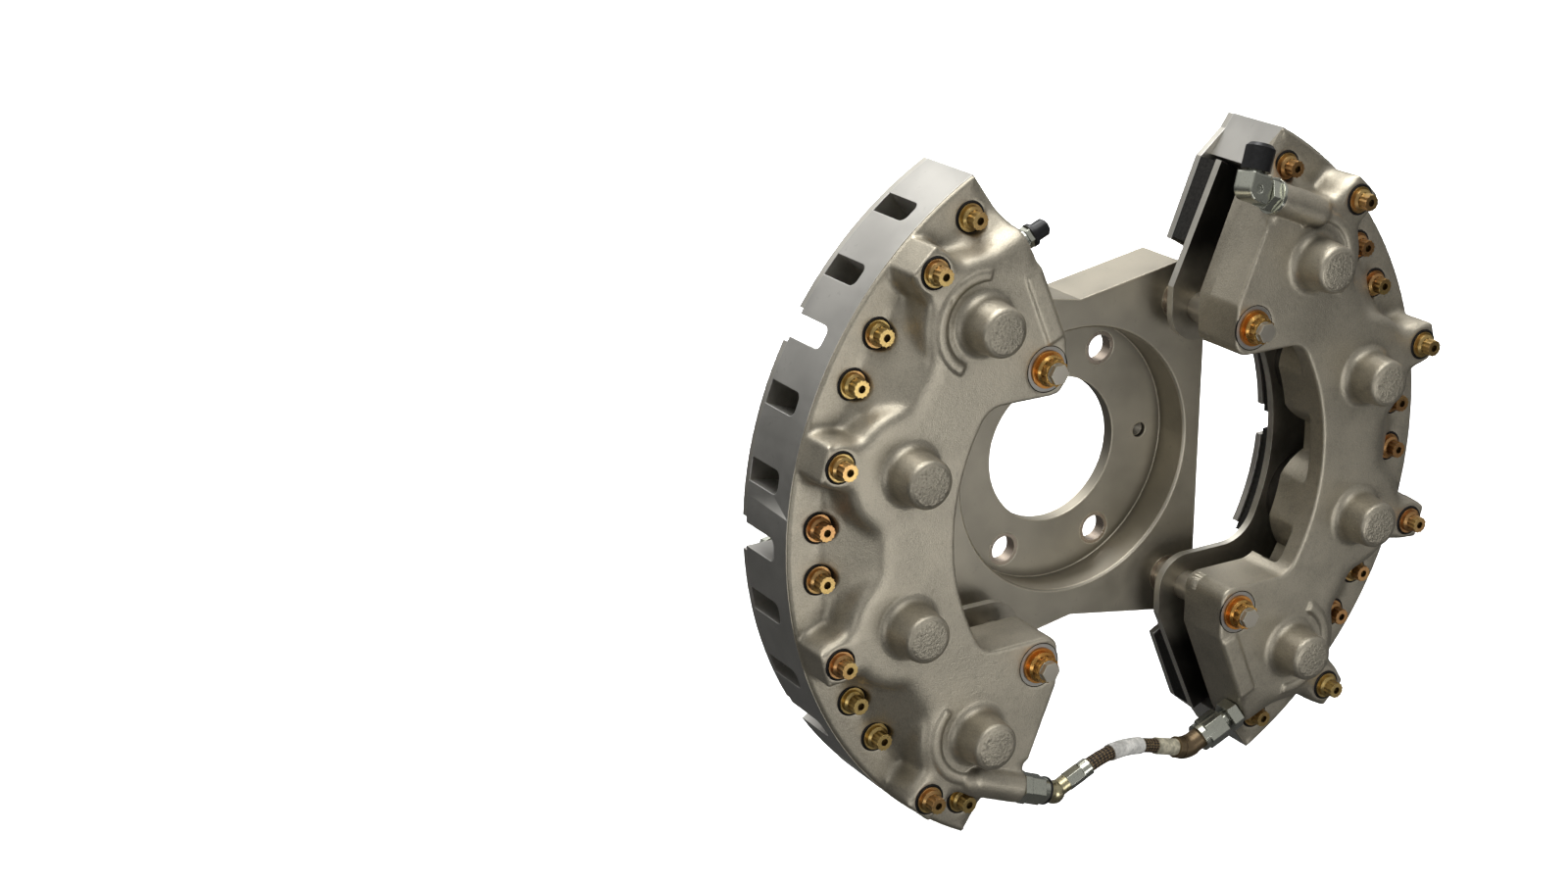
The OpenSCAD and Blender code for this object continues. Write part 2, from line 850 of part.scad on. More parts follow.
module axle_bushings() {
    color("#b9a283")
        mirror([0, 1, 0])
            rotate([90, 0, 0])
                for (a = [60, 120, 240, 300])
                    polar(axle_bolt_r, a)
                        difference() {
                            cylinder(h = web_t, r = axle_bushing_r);
                            translate([0, 0, -over])
                                cylinder(h = web_t + 2 * over, r = axle_hole_r);
                        }
}

module anchor_bushings() {
    color("#a58a5c")
        for (side = [false, true])
            caliper_frame(side)
                at_anchors()
                    translate([0, 0, bush_front])
                        difference() {
                            cylinder(h = bush_back - bush_front, r = bushing_r);
                            translate([0, 0, -over])
                                cylinder(h = bush_back - bush_front + 2 * over, r = pin_r + pin_gap);
                        }
}

// Round and hexagonal solids along a port axis, between two distances
module along(from, to, r) {
    translate([from, 0, 0])
        rotate([0, 90, 0])
            cylinder(h = to - from, r = r);
}

module hex_along(from, to, r) {
    translate([from, 0, 0])
        rotate([0, 90, 0])
            cylinder(h = to - from, r = r, $fn = 6);
}

module upper_port(left) {
    caliper_frame(left)
        at_port(left ? -1 : 1)
            children();
}

module lower_port(left) {
    caliper_frame(left)
        at_port(left ? 1 : -1)
            children();
}

module bleeder_valve() {
    color(zinc)
        upper_port(true)
            difference() {
                union() {
                    along(-port_len + 1, port_proud, port_r);
                    hex_along(port_proud + 0.2, port_proud + 2.6, port_r + 0.6);
                    along(0, port_proud + 10.2, port_r - 1.6);
                }
                along(-port_len, port_proud + 11, 0.9);
            }
}

module bleeder_cap() {
    start = port_proud + 2.7;
    color("#1c1c1e")
        upper_port(true)
            difference() {
                union() {
                    along(start, start + 1.6, port_r + 0.9);
                    along(start, start + 8, port_r - 0.3);
                    along(start + 7.9, start + 9, port_r - 1.3);
                }
                along(start - over, port_proud + 10.2 + seat_gap, port_r - 1.6 + seat_gap);
            }
}

module inlet_jam_nut() {
    color(zinc)
        upper_port(false)
            difference() {
                union() {
                    along(port_proud, port_proud + 1.8, port_r + 4);
                    hex_along(port_proud + 1.8, port_proud + 7.2, port_r + 3.4);
                }
                along(0, port_proud + 8, port_r + seat_gap);
            }
}

// Second leg of the inlet elbow, square to the port and tipped back a little
module elbow_leg() {
    translate([elbow_reach, 0, 0])
        rotate([elbow_tip, 0, 0])
            rotate([0, 0, -90])
                children();
}

// Square forged corner with a round heel and a round mark on its front
module forged_corner(half, from, to) {
    rotate([elbow_tip, 0, 0])
        difference() {
            slab(-half, half) {
                translate([from, -half])
                    square([elbow_reach - from, 2 * half]);
                translate([elbow_reach, 0])
                    circle(half);
                translate([elbow_reach - half, -to])
                    square([2 * half, to]);
            }
            translate([elbow_reach, 0, -half - over])
                cylinder(h = over + 0.5, r = drill_r);
        }
}

module inlet_elbow() {
    color(zinc)
        upper_port(false)
            difference() {
                union() {
                    along(-port_len + 1, elbow_reach, port_r);
                    forged_corner(port_r + 1.1, port_proud + 7.6, 7);
                    elbow_leg()
                        along(6.9, 16, port_r - 0.2);
                }
                along(-port_len, elbow_reach, fluid_r);
                elbow_leg()
                    along(0, 17, fluid_r);
            }
}

module inlet_cap() {
    color("#161618")
        upper_port(false)
            elbow_leg()
                difference() {
                    union() {
                        along(8, 18.5, port_r + 2.4);
                        translate([18.5, 0, 0])
                            rotate([0, 90, 0])
                                cylinder(h = 1.7, r1 = port_r + 2.4, r2 = port_r + 0.8);
                    }
                    along(7, 16 + seat_gap, port_r - 0.2 + seat_gap);
                }
}

module hose_adapter(left) {
    color(zinc)
        lower_port(left)
            difference() {
                union() {
                    along(-port_len + 1, nut_from(left) + thread_len, port_r);
                    hex_along(port_proud, port_proud + adapter_len(left), adapter_r);
                }
                along(-port_len, nut_from(left) + thread_len + 1, fluid_r);
            }
}

module hose_nut(left) {
    from = nut_from(left);
    to = nut_to(left);
    color(zinc)
        lower_port(left)
            difference() {
                union() {
                    hex_along(from, to - 3, nut_r(left));
                    along(from, to, nut_r(left) - 1);
                }
                along(from - over, to + over, port_r + seat_gap);
            }
}

module left_hose_ring() {
    color("#1c1b1a")
        lower_port(true)
            difference() {
                along(nut_to(true), nut_to(true) + ring_t, nut_r(true) - 0.7);
                along(nut_to(true) - over, nut_to(true) + 2, port_r + seat_gap);
            }
}

// Places its children at the bend of a hose end, x along the second leg
module hose_bend(left) {
    lower_port(left)
        translate([bend_at(left), 0, 0])
            rotate([0, 0, bend_turn(left)])
                children();
}

// Forged elbow with a ball at its corner
module left_hose_elbow() {
    r = port_r + 0.7;
    color("#b8a468")
        difference() {
            union() {
                lower_port(true)
                    along(nut_to(true) + ring_t, bend_at(true), r);
                lower_port(true)
                    along(nut_from(true) + thread_len + 0.1, nut_to(true) + 1, port_r);
                hose_bend(true)
                    sphere(r + elbow_ball);
                hose_bend(true)
                    along(0, left_leg, r - 1);
            }
            lower_port(true)
                along(nut_from(true), bend_at(true), fluid_r);
            hose_bend(true)
                along(0, left_leg + 1, fluid_r);
        }
}

// Smooth bend: two straight lengths that run a little way into a revolved arc
module right_hose_elbow() {
    turn = -bend_turn(false);
    cut = bend_r * tan(turn / 2);
    r = port_r + 1.1;
    lap = 0.4;
    step = 0.3;
    color("#6b4f33")
        union() {
            lower_port(false)
                difference() {
                    union() {
                        along(nut_from(false) + thread_len + 0.1, nut_to(false) + 1, port_r);
                        along(nut_to(false), bend_at(false) - cut + lap, r - step);
                    }
                    along(nut_from(false), bend_at(false), fluid_r + step);
                }
            lower_port(false)
                translate([bend_at(false) - cut, -bend_r, 0])
                    rotate([0, 0, 90 - turn])
                        rotate_extrude(angle = turn)
                            translate([bend_r, 0])
                                difference() {
                                    circle(r);
                                    circle(fluid_r);
                                }
            hose_bend(false)
                difference() {
                    along(cut - lap, right_leg, r - step);
                    along(0, right_leg + 1, fluid_r + step);
                }
        }
}

module left_hose_ferrule() {
    color(zinc)
        hose_bend(true)
            difference() {
                union() {
                    hex_along(left_leg, 16.6, hose_r + 1);
                    along(16.5, leg_len(true), hose_r + 0.8);
                }
                along(left_leg - 1, leg_len(true) + 1, fluid_r);
            }
}

module right_hose_ferrule() {
    color("#a8925a")
        hose_bend(false)
            difference() {
                along(right_leg, leg_len(false), hose_r + 0.6);
                along(right_leg - 1, leg_len(false) + 1, fluid_r);
            }
}

function adapter_len(left) = left ? 4 : 5.6;
function nut_r(left) = port_r + (left ? 2.9 : 3.6);
function nut_from(left) = port_proud + (left ? 4.2 : 9.3);
function nut_to(left) = nut_from(left) + (left ? 11.4 : 13.6);
function bend_at(left) = nut_to(left) + (left ? 6.6 : 8.4);
function bend_turn(left) = left ? 45 : -40;
function leg_len(left) = left ? 21.4 : 19.6;

// Path of the hose between the two ferrules, from one port depth to the other
function port_dir(left) = left ? -edge_angle : 180 + edge_angle;
function leg_dir(left) = port_dir(left) + bend_turn(left);
function unit(a) = [cos(a), sin(a)];
function hose_end(left) = let (s = left ? 1 : -1) [-s * port_x(s), -port_z(s)]
    + bend_at(left) * unit(port_dir(left)) + leg_len(left) * unit(leg_dir(left));
hose_a = hose_end(true);
hose_d = hose_end(false);
hose_pull = 0.34 * norm(hose_d - hose_a);
hose_b = hose_a + hose_pull * unit(leg_dir(true));
hose_c = hose_d + hose_pull * unit(leg_dir(false));
function bezier(t) = pow(1 - t, 3) * hose_a + 3 * t * pow(1 - t, 2) * hose_b
    + 3 * t * t * (1 - t) * hose_c + pow(t, 3) * hose_d;
function path_depth(t) = port_depth + (sunk_port_depth - port_depth) * t * t * (3 - 2 * t);
function heading(t) = pow(1 - t, 2) * (hose_b - hose_a) + 2 * t * (1 - t) * (hose_c - hose_b)
    + t * t * (hose_d - hose_c);
hose_sides = 12;
hose_rings = 14;

// Rings of points along the hose path from t0 to t1
function ring_points(t0, t1, r, rings) = [for (i = [0:rings], k = [0:hose_sides - 1])
    let (t = t0 + (t1 - t0) * i / rings, d = heading(t) / norm(heading(t)),
        a = 360 * k / hose_sides, p = bezier(t))
    [p[0] - d[1] * r * cos(a), p[1] + d[0] * r * cos(a), path_depth(t) + r * sin(a)]];
function skin(rings, first, out) = [for (i = [0:rings - 1], k = [0:hose_sides - 1])
    let (n = hose_sides, j = (k + 1) % n, q = first + i * n)
    out ? [q + k, q + j, q + n + j, q + n + k] : [q + k, q + n + k, q + n + j, q + j]];

// Round bar swept along the hose path
module sweep(t0, t1, r, rings) {
    start = [for (k = [hose_sides - 1:-1:0]) k];
    finish = [for (k = [0:hose_sides - 1]) rings * hose_sides + k];
    polyhedron(ring_points(t0, t1, r, rings), concat(skin(rings, 0, true), [start, finish]));
}

// Round tube swept along the hose path
module swept_tube(t0, t1, r, bore, rings) {
    n = hose_sides;
    inner = (rings + 1) * n;
    last = rings * n;
    start = [for (k = [0:n - 1]) let (j = (k + 1) % n) [k, inner + k, inner + j, j]];
    finish = [for (k = [0:n - 1]) let (j = (k + 1) % n)
        [last + k, last + j, inner + last + j, inner + last + k]];
    polyhedron(concat(ring_points(t0, t1, r, rings), ring_points(t0, t1, bore, rings)),
        concat(skin(rings, 0, true), skin(rings, inner, false), start, finish));
}

module crossover_hose() {
    color("#5b452f")
        caliper_frame(false)
            sweep(0, 1, hose_r, hose_rings);
}

module hose_sleeve() {
    color("#e6e3dc")
        caliper_frame(false)
            swept_tube(0.31, 0.77, sleeve_r, hose_r + 0.2, 8);
}

torque_plate();
axle_bushings();
anchor_bushings();
caliper_frame(true) housing();  // left_housing
caliper_frame(true) back_plates();  // left_back_plates
caliper_frame(true) linings(lining_face);  // left_back_linings
caliper_frame(true) tie_bolts();  // left_tie_bolts
caliper_frame(true) tie_washers();  // left_tie_washers
caliper_frame(true) tie_nuts();  // left_tie_nuts
caliper_frame(true) anchor_bolts();  // left_anchor_bolts
caliper_frame(true) anchor_washers();  // left_anchor_washers
caliper_frame(true) anchor_nuts();  // left_anchor_nuts
caliper_frame(true) pressure_plate();  // left_pressure_plate
caliper_frame(true) linings(plate_back);  // left_pressure_linings
caliper_frame(true) piston(0);  // left_piston_1
caliper_frame(true) piston(1);  // left_piston_2
caliper_frame(true) piston(2);  // left_piston_3
caliper_frame(true) piston(3);  // left_piston_4
caliper_frame(true) seals();  // left_seals
caliper_frame(false) housing();  // right_housing
caliper_frame(false) back_plates();  // right_back_plates
caliper_frame(false) linings(lining_face);  // right_back_linings
caliper_frame(false) tie_bolts();  // right_tie_bolts
caliper_frame(false) tie_washers();  // right_tie_washers
caliper_frame(false) tie_nuts();  // right_tie_nuts
caliper_frame(false) anchor_bolts();  // right_anchor_bolts
caliper_frame(false) anchor_washers();  // right_anchor_washers
caliper_frame(false) anchor_nuts();  // right_anchor_nuts
caliper_frame(false) pressure_plate();  // right_pressure_plate
caliper_frame(false) linings(plate_back);  // right_pressure_linings
caliper_frame(false) piston(0);  // right_piston_1
caliper_frame(false) piston(1);  // right_piston_2
caliper_frame(false) piston(2);  // right_piston_3
caliper_frame(false) piston(3);  // right_piston_4
caliper_frame(false) seals();  // right_seals
bleeder_valve();
bleeder_cap();
inlet_jam_nut();
inlet_elbow();
inlet_cap();
hose_adapter(true);  // left_hose_adapter
hose_nut(true);  // left_hose_nut
left_hose_ring();
left_hose_elbow();
left_hose_ferrule();
crossover_hose();
hose_sleeve();
right_hose_ferrule();
right_hose_elbow();
hose_nut(false);  // right_hose_nut
hose_adapter(false);  // right_hose_adapter
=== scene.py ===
"""Looks of an aircraft brake assembly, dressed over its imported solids."""
import math

import bmesh
import bpy
from bpy.props import FloatProperty, FloatVectorProperty, IntProperty, PointerProperty
from mathutils import Matrix, Vector


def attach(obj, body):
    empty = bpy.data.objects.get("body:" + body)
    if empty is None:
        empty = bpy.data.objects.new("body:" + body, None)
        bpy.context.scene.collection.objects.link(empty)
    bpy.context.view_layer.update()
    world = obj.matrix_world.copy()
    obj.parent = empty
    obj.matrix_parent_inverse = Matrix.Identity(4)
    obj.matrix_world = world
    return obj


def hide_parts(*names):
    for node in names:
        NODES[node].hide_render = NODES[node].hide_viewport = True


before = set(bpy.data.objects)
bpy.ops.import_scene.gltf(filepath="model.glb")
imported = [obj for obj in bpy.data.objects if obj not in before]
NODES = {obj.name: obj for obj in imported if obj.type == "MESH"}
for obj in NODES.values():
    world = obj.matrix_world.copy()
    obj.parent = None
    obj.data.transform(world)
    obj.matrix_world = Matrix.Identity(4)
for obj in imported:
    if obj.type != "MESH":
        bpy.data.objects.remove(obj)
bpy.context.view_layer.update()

bl_info = {
    "name": "Brake assembly finishes",
    "version": (1, 0, 0),
    "blender": (4, 5, 0),
    "location": "View3D > Sidebar > Brake",
    "description": "Casting skins, metal finishes, hose and stage of a brake assembly",
    "category": "Object",
}

SIDES = ("left", "right")
HALF_TURN = Matrix.Rotation(math.pi, 4, "Y")
MM = 0.001
# Points of a solid's mesh that lie nearer than this are one point
MERGE = 2e-6

# The wheel axis is Y. The cast faces lie at this Y, and depths are measured behind them
FACE_Y = -0.0734
# The machined wall starts at this radius, and its slots and rear at this depth
WALL_R = 0.1765
BLOCK_DEPTH = 0.027
# Outside this radius the rear of the housing is turned too
LINING_R = 0.150
# The rough ends of the domes begin between these distances in front of the flange's seat
DOME_ENDS = 0.0902, 0.0905
# Between these heights the painted shadow on the pressure plate's faces gives way to its plain
# steel round the pins
SHADOW_EDGE_HEIGHTS = 0.103, 0.084
# Edges sharper than these angles stay sharp, in degrees
SKIN_SHARP, WALL_SHARP, ROUND_SHARP = 62, 30, 40

# Tie bolts: radius, angle and seat depth of each, from the layout of the housings
PISTON_STEP, BOLT_HALF = 31.0, 4.2
LOBE_R, POCKET_R, POCKET_SEAT = 0.168, 0.1625, 0.0182
PISTONS = [(i - 1.5) * PISTON_STEP for i in range(4)]
LOBE_BOLTS = [(LOBE_R, a, 0.0) for a in PISTONS]
POCKET_BOLTS = [
    (POCKET_R, i * PISTON_STEP + s * BOLT_HALF, POCKET_SEAT) for i in (-1, 0, 1) for s in (-1, 1)
]
END_BOLTS = [(POCKET_R, s * (2 * PISTON_STEP - BOLT_HALF), POCKET_SEAT) for s in (-1, 1)]
TIES = LOBE_BOLTS + POCKET_BOLTS + END_BOLTS
# Each nut and washer seats in a spot face of this depth
SPOT_DEPTH = 0.0005
ANCHOR_X, ANCHOR_Z = 0.0573, 0.070
# Profiles of the rings about those seats: radius and depth in millimetres. The black ring round
# each tie washer and the black line at the edge of each anchor seat are painted shadow of the gaps
# there
TIE_SHADOW_RING = ((6.15, 0.1), (6.3, -0.75), (6.8, -0.95), (7.35, -0.6), (7.5, 0.1))
TURNED_SEAT = ((8.45, 0.1), (8.45, -0.28), (10.0, -0.28), (10.15, 0.1))
SEAT_SHADOW_LINE = ((10.15, 0.1), (10.25, -0.36), (10.6, -0.42), (10.75, 0.1))
RING_SIDES = 40

# Piston bores: axis radius, bore radius and depth of the closed end
BORE_PITCH, BORE_R, BORE_END = 0.1321, 0.0222, 0.005
# Room left about a piston, and how near to a bore's surface a point counts as on it
BORE_ROOM, BORE_NEAR = 0.00015, 0.0006
# The softened pockets: inner and outer radius, depth, and room about a tie bolt's axis
SOFT_INNER_R, SOFT_OUTER_R, SOFT_DEPTH, SOFT_CLEAR = 0.1315, 0.1755, 0.0200, 0.0080
# A form raised by more than this above the face keeps its shape
RAISED = 0.00012
# Each further pass over the pockets reaches this much less far
FADE = 0.00002

# Ends of the castings, in millimetres: half width, its slope, and the height it is given at
END_X, END_SLOPE, END_Z, PORT_STEP = 47.2, 0.41, 81.9, 0.2
END_LEAN = math.atan(END_SLOPE)
# Hose ends in millimetres, left then right: side, port height and depth, run out to the
# bend, leg behind it, direction out of the port and turn at the bend
HOSE_ENDS = (
    (-1, 129.238, 2.1, 22.7, 21.4, -END_LEAN, math.radians(45)),
    (1, 127.038, 8.2, 31.8, 19.6, math.pi + END_LEAN, math.radians(-40)),
)
# How far the hose's own ends pull its curve straight, as a share of the gap between them
HOSE_PULL = 0.34
# The share of the hose's line that the sleeve covers, and the gap under it
SLEEVE_FROM, SLEEVE_TO, SLEEVE_GAP = 0.31, 0.77, 0.0002
HOSE_STEPS, SLEEVE_STEPS, HOSE_SIDES = 36, 24, 32
# The woven cover: turn of the pattern for each metre, and for once round
WEAVE_ALONG, WEAVE_AROUND = 1700.0, 50.27

# Colours of the small pieces, linear. A pair is the two tints that plating drifts between
BUSHING = (0.56, 0.47, 0.38)
# The pressure plate's near black face colour is painted shadow; the steel by its lug is its own
# colour
PLATE_FACE_SHADOW, BRIGHT_EDGE, LUG_STEEL = (0.035, 0.032, 0.027), (0.66, 0.63, 0.55), (0.34, 0.31, 0.25)
LINING = (0.018, 0.017, 0.015)
PISTON = (0.07, 0.065, 0.06)
SEAL = (0.012, 0.012, 0.012)
# Near black of the painted shadow in the gaps round the washers and seats
GAP_SHADOW = (0.010, 0.009, 0.008)
ANCHOR_STEEL = (0.54, 0.50, 0.42)
ORANGE_WASHER = (0.62, 0.24, 0.05), (0.66, 0.30, 0.08)
ORANGE_NUT = (0.64, 0.30, 0.07), (0.60, 0.36, 0.11)
BLACK_CAP = (0.006, 0.006, 0.0065)
OLIVE = (0.40, 0.34, 0.19), (0.50, 0.45, 0.28)
BROWN = (0.14, 0.10, 0.06), (0.20, 0.145, 0.08)
CREAM = (0.42, 0.39, 0.29)
STRANDS = (0.012, 0.008, 0.005), (0.21, 0.14, 0.070)
STRAND_FLECK = (0.50, 0.36, 0.16)
WHITE_SLEEVE = (0.62, 0.61, 0.57)
PALE_FLOOR = (0.92, 0.92, 0.92)

# The floor's height and half width
FLOOR_Z, FLOOR_HALF = -0.35, 20.0
# Lights: name, setting, place, the point it aims at, width and length, and spread
LAMPS = (
    ("overhead", "overhead", (-0.2, -0.2, 1.5), (0, 0, 0), (1.3, 1.1), math.pi),
    ("behind", "back", (0.1, 2.2, 1.5), (0, 0, 0), (2.4, 1.3), math.pi),
    ("front", "front", (0.065, -0.72, -0.16), (-0.11, -0.07, 0), (0.36, 0.26), math.pi),
    ("side", "side", (-0.85, -0.72, -0.18), (-0.12, -0.07, 0), (0.6, 0.28), math.pi),
    ("low", "low", (0.45, -0.45, -0.27), (0.1, -0.07, -0.1), (0.2, 0.1), math.pi),
    ("on floor", "floor", (0.9, 1.9, 1.5), (0.9, 1.9, 0), (3.0, 3.0), 1.4),
)
# The camera: its lens, its place, and its own right, up and forward directions
LENS, SENSOR = 58.55, 36.0
CAMERA_PLACE = (-0.67879, -0.92152, 0.41412)
CAMERA_RIGHT = (0.86453, -0.50253, -0.00769)
CAMERA_UP = (0.17636, 0.28899, 0.94095)
CAMERA_AHEAD = (0.47063, 0.81483, -0.33847)


class Signal:
    """A value in a shader that takes part in plain arithmetic."""

    def __init__(self, graph, socket):
        self.graph = graph
        self.socket = socket

    def _do(self, operation, *others, swap=False):
        terms = [self, *others]
        if swap:
            terms.reverse()
        return self.graph.node("ShaderNodeMath", {"operation": operation}, dict(enumerate(terms)))

    def __add__(self, other):
        return self._do("ADD", other)

    __radd__ = __add__

    def __sub__(self, other):
        return self._do("SUBTRACT", other)

    def __rsub__(self, other):
        return self._do("SUBTRACT", other, swap=True)

    def __mul__(self, other):
        return self._do("MULTIPLY", other)

    __rmul__ = __mul__

    def __abs__(self):
        return self._do("ABSOLUTE")

    def sine(self):
        return self._do("SINE")

    def between(self, low, high):
        """0 below low and 1 above high, with a soft change."""
        settings = {"interpolation_type": "SMOOTHSTEP"}
        links = {"Value": self, "From Min": low, "From Max": high}
        return self.graph.node("ShaderNodeMapRange", settings, links)


class Graph:
    """The node tree of one finish, or of the surround."""

    def __init__(self, owner):
        owner.use_nodes = True
        self.owner = owner
        self.tree = owner.node_tree
        self.tree.nodes.clear()

    def node(self, kind, settings=None, inputs=None, out=0):
        """Adds a node: its settings first, then the values or links of its sockets."""
        made = self.tree.nodes.new(kind)
        for key, value in (settings or {}).items():
            setattr(made, key, value)
        for key, value in (inputs or {}).items():
            if isinstance(value, Signal):
                self.tree.links.new(value.socket, made.inputs[key])
            else:
                made.inputs[key].default_value = value
        return Signal(self, made.outputs[out])

    def place(self):
        return self.node("ShaderNodeTexCoord", out="Object")

    def axes(self):
        where = self.place()
        return [self.node("ShaderNodeSeparateXYZ", None, {0: where}, out=i) for i in range(3)]

    def noise(self, scale, detail=3.0, rough=0.55):
        links = {"Vector": self.place(), "Scale": scale, "Detail": detail, "Roughness": rough}
        return self.node("ShaderNodeTexNoise", None, links)

    def mix(self, share, first, second):
        made = self.tree.nodes.new("ShaderNodeMix")
        made.data_type = "RGBA"
        for index, value in ((0, share), (6, first), (7, second)):
            if isinstance(value, Signal):
                self.tree.links.new(value.socket, made.inputs[index])
            else:
                made.inputs[index].default_value = value if index == 0 else (*value, 1.0)
        return Signal(self, made.outputs[2])

    def bump(self, height, distance, strength=1.0, normal=None):
        links = {"Height": height, "Distance": distance, "Strength": strength}
        if normal:
            links["Normal"] = normal
        return self.node("ShaderNodeBump", None, links)

    def rounded(self, radius):
        return self.node("ShaderNodeBevel", {"samples": 4}, {"Radius": radius})

    def edge(self, radius):
        """1 on an edge, falling to 0 at the radius from it."""
        way = self.node("ShaderNodeNewGeometry", out="Normal")
        links = {0: self.rounded(radius), 1: way}
        agree = self.node("ShaderNodeVectorMath", {"operation": "DOT_PRODUCT"}, links, out="Value")
        return (1.0 - agree).between(0.004, 0.14)

    def openness(self, reach):
        """1 on open surfaces, falling to 0 deep in corners and gaps; the finishes use it to paint
        shade into their colour.
        """
        settings = {"samples": 8, "only_local": True}
        return self.node("ShaderNodeAmbientOcclusion", settings, {"Distance": reach}, out="AO")

    def facing(self, axis):
        """One part of the surface's own direction."""
        way = self.node("ShaderNodeNewGeometry", out="Normal")
        return self.node("ShaderNodeSeparateXYZ", None, {0: way}, out=axis)

    def finish(self, **sockets):
        """Ends the tree in a shader with each named socket set or linked."""
        shader = self.tree.nodes.new("ShaderNodeBsdfPrincipled")
        out = self.tree.nodes.new("ShaderNodeOutputMaterial")
        for key, value in sockets.items():
            name = key.replace("_", " ").title().replace("Ior", "IOR")
            if isinstance(value, Signal):
                self.tree.links.new(value.socket, shader.inputs[name])
            elif isinstance(value, tuple):
                shader.inputs[name].default_value = (*value, 1.0)
            else:
                shader.inputs[name].default_value = value
        self.tree.links.new(shader.outputs[0], out.inputs[0])
        return self.owner


def new_finish(name):
    return Graph(bpy.data.materials.new(name))


def shade(colour, factor):
    return tuple(min(1.0, c * factor) for c in colour)


def cast_finish(name, colour, grain, rough):
    """Blasted casting: a fine grain, soft mottling, painted shade in its recesses and rough dome
    ends.
    """
    g = new_finish(name)
    fine = g.noise(1500.0, 3.0, 0.6)
    middle = g.noise(420.0, 3.0, 0.6)
    broad = g.noise(46.0, 3.0, 0.5)
    tone = g.mix(broad.between(0.34, 0.68), shade(colour, 0.88), shade(colour, 1.10))
    stain = g.noise(130.0, 5.0, 0.7)
    tone = g.mix(fine.between(0.3, 0.72) * 0.42, tone, shade(colour, 1.55))
    tone = g.mix(stain.between(0.54, 0.70) * 0.30, tone, shade(colour, 0.66))
    tone = g.mix(middle.between(0.56, 0.74) * 0.30, tone, shade(colour, 0.62))
    # Painted shade: the colour darkens deep in pockets, corners and gaps
    tone = g.mix(g.openness(0.013).between(0.34, 0.94), shade(colour, 0.26), tone)
    dome_end = (g.axes()[1] * -1.0).between(*DOME_ENDS)
    pits = g.noise(760.0, 3.0, 0.6)
    tone = g.mix(dome_end * pits.between(0.50, 0.66) * 0.5, tone, shade(colour, 0.5))
    height = fine + middle * 0.8 + pits * 6.0 * dome_end
    return g.finish(
        base_color=tone,
        metallic=0.85,
        roughness=rough + (broad - 0.5) * 0.12 + (fine - 0.5) * 0.14,
        normal=g.bump(height, grain, 0.7),
    )


def machined_finish(name, colour, rough, edge=0.0004, corner_shade=0.5, marked=0.35, rim=0.5):
    """Machined metal with a faint haze and fine scratches, painted shade in its corners and a
    painted highlight on its edges.
    """
    g = new_finish(name)
    haze = g.noise(30.0, 3.0)
    fine = g.noise(2600.0, 2.0)
    marks = g.noise(240.0, 5.0, 0.7)
    tone = g.mix(haze.between(0.32, 0.70), shade(colour, 0.90), shade(colour, 1.08))
    tone = g.mix(marks.between(0.60, 0.72) * marked, tone, shade(colour, 0.55))
    # Painted shade: the colour darkens in corners and gaps
    tone = g.mix(g.openness(0.010).between(0.25, 0.85), shade(colour, corner_shade), tone)
    # Painted highlight: the colour brightens along convex and hollow edges alike
    tone = g.mix(g.edge(edge * 1.6) * rim, tone, shade(colour, 2.0))
    return g.finish(
        base_color=tone,
        metallic=0.88,
        roughness=rough + (haze - 0.5) * 0.14 + (marks - 0.5) * 0.10,
        normal=g.bump(fine, 0.00003, 0.35, g.rounded(edge)),
    )


def plate_finish(name, face, rim, lug):
    """Pressure plate: ground bright edges, and faces in near black painted shadow that give way to
    plain steel round the pins.
    """
    g = new_finish(name)
    haze = g.noise(60.0, 4.0)
    fine = g.noise(1800.0, 2.0)
    height = abs(g.axes()[2])
    # Painted shadow: the plate's faces turn near black away from the lug
    out_of_shadow = height.between(*SHADOW_EDGE_HEIGHTS)
    flat = abs(g.facing(1)).between(0.6, 0.8)
    painted_shadow = g.mix(haze.between(0.3, 0.7), shade(face, 0.8), shade(face, 1.25))
    bare_metal = g.mix(haze.between(0.3, 0.7), shade(lug, 0.85), shade(lug, 1.1))
    faces = g.mix(out_of_shadow, painted_shadow, bare_metal)
    bright = g.mix(haze.between(0.35, 0.65), shade(rim, 0.86), shade(rim, 1.06))
    return g.finish(
        base_color=g.mix(flat, bright, faces),
        metallic=0.85,
        roughness=0.34 + (haze - 0.5) * 0.2,
        normal=g.bump(fine, 0.00003, 0.35, g.rounded(0.0003)),
    )


def plated_finish(name, low, high, rough, metallic=0.95, edge=0.00025, corner_shade=0.25):
    """Plating whose tint drifts from piece to piece, with painted shade in its recesses."""
    g = new_finish(name)
    drift = g.noise(24.0, 1.0)
    flecks = g.noise(900.0, 3.0)
    tone = g.mix(drift.between(0.40, 0.60), low, high)
    tone = g.mix(flecks.between(0.52, 0.76) * 0.35, tone, shade(low, 0.45))
    # Painted shade: the colour darkens in recesses and gaps
    tone = g.mix(g.openness(0.0035).between(0.35, 0.95), shade(low, corner_shade), tone)
    return g.finish(
        base_color=tone,
        metallic=metallic,
        roughness=rough + (flecks - 0.5) * 0.16,
        normal=g.bump(flecks, 0.00004, 0.5, g.rounded(edge)),
    )


def dull_finish(name, colour, rough, grain, scale, shine=0.2):
    """Rubber, lining or plastic with a fine speckle."""
    g = new_finish(name)
    speck = g.noise(scale, 4.0, 0.65)
    tone = g.mix(speck.between(0.35, 0.7), shade(colour, 0.7), shade(colour, 1.5))
    return g.finish(
        base_color=tone,
        metallic=0.0,
        roughness=rough + (speck - 0.5) * 0.1,
        specular_ior_level=shine,
        normal=g.bump(speck, grain, 0.6),
    )


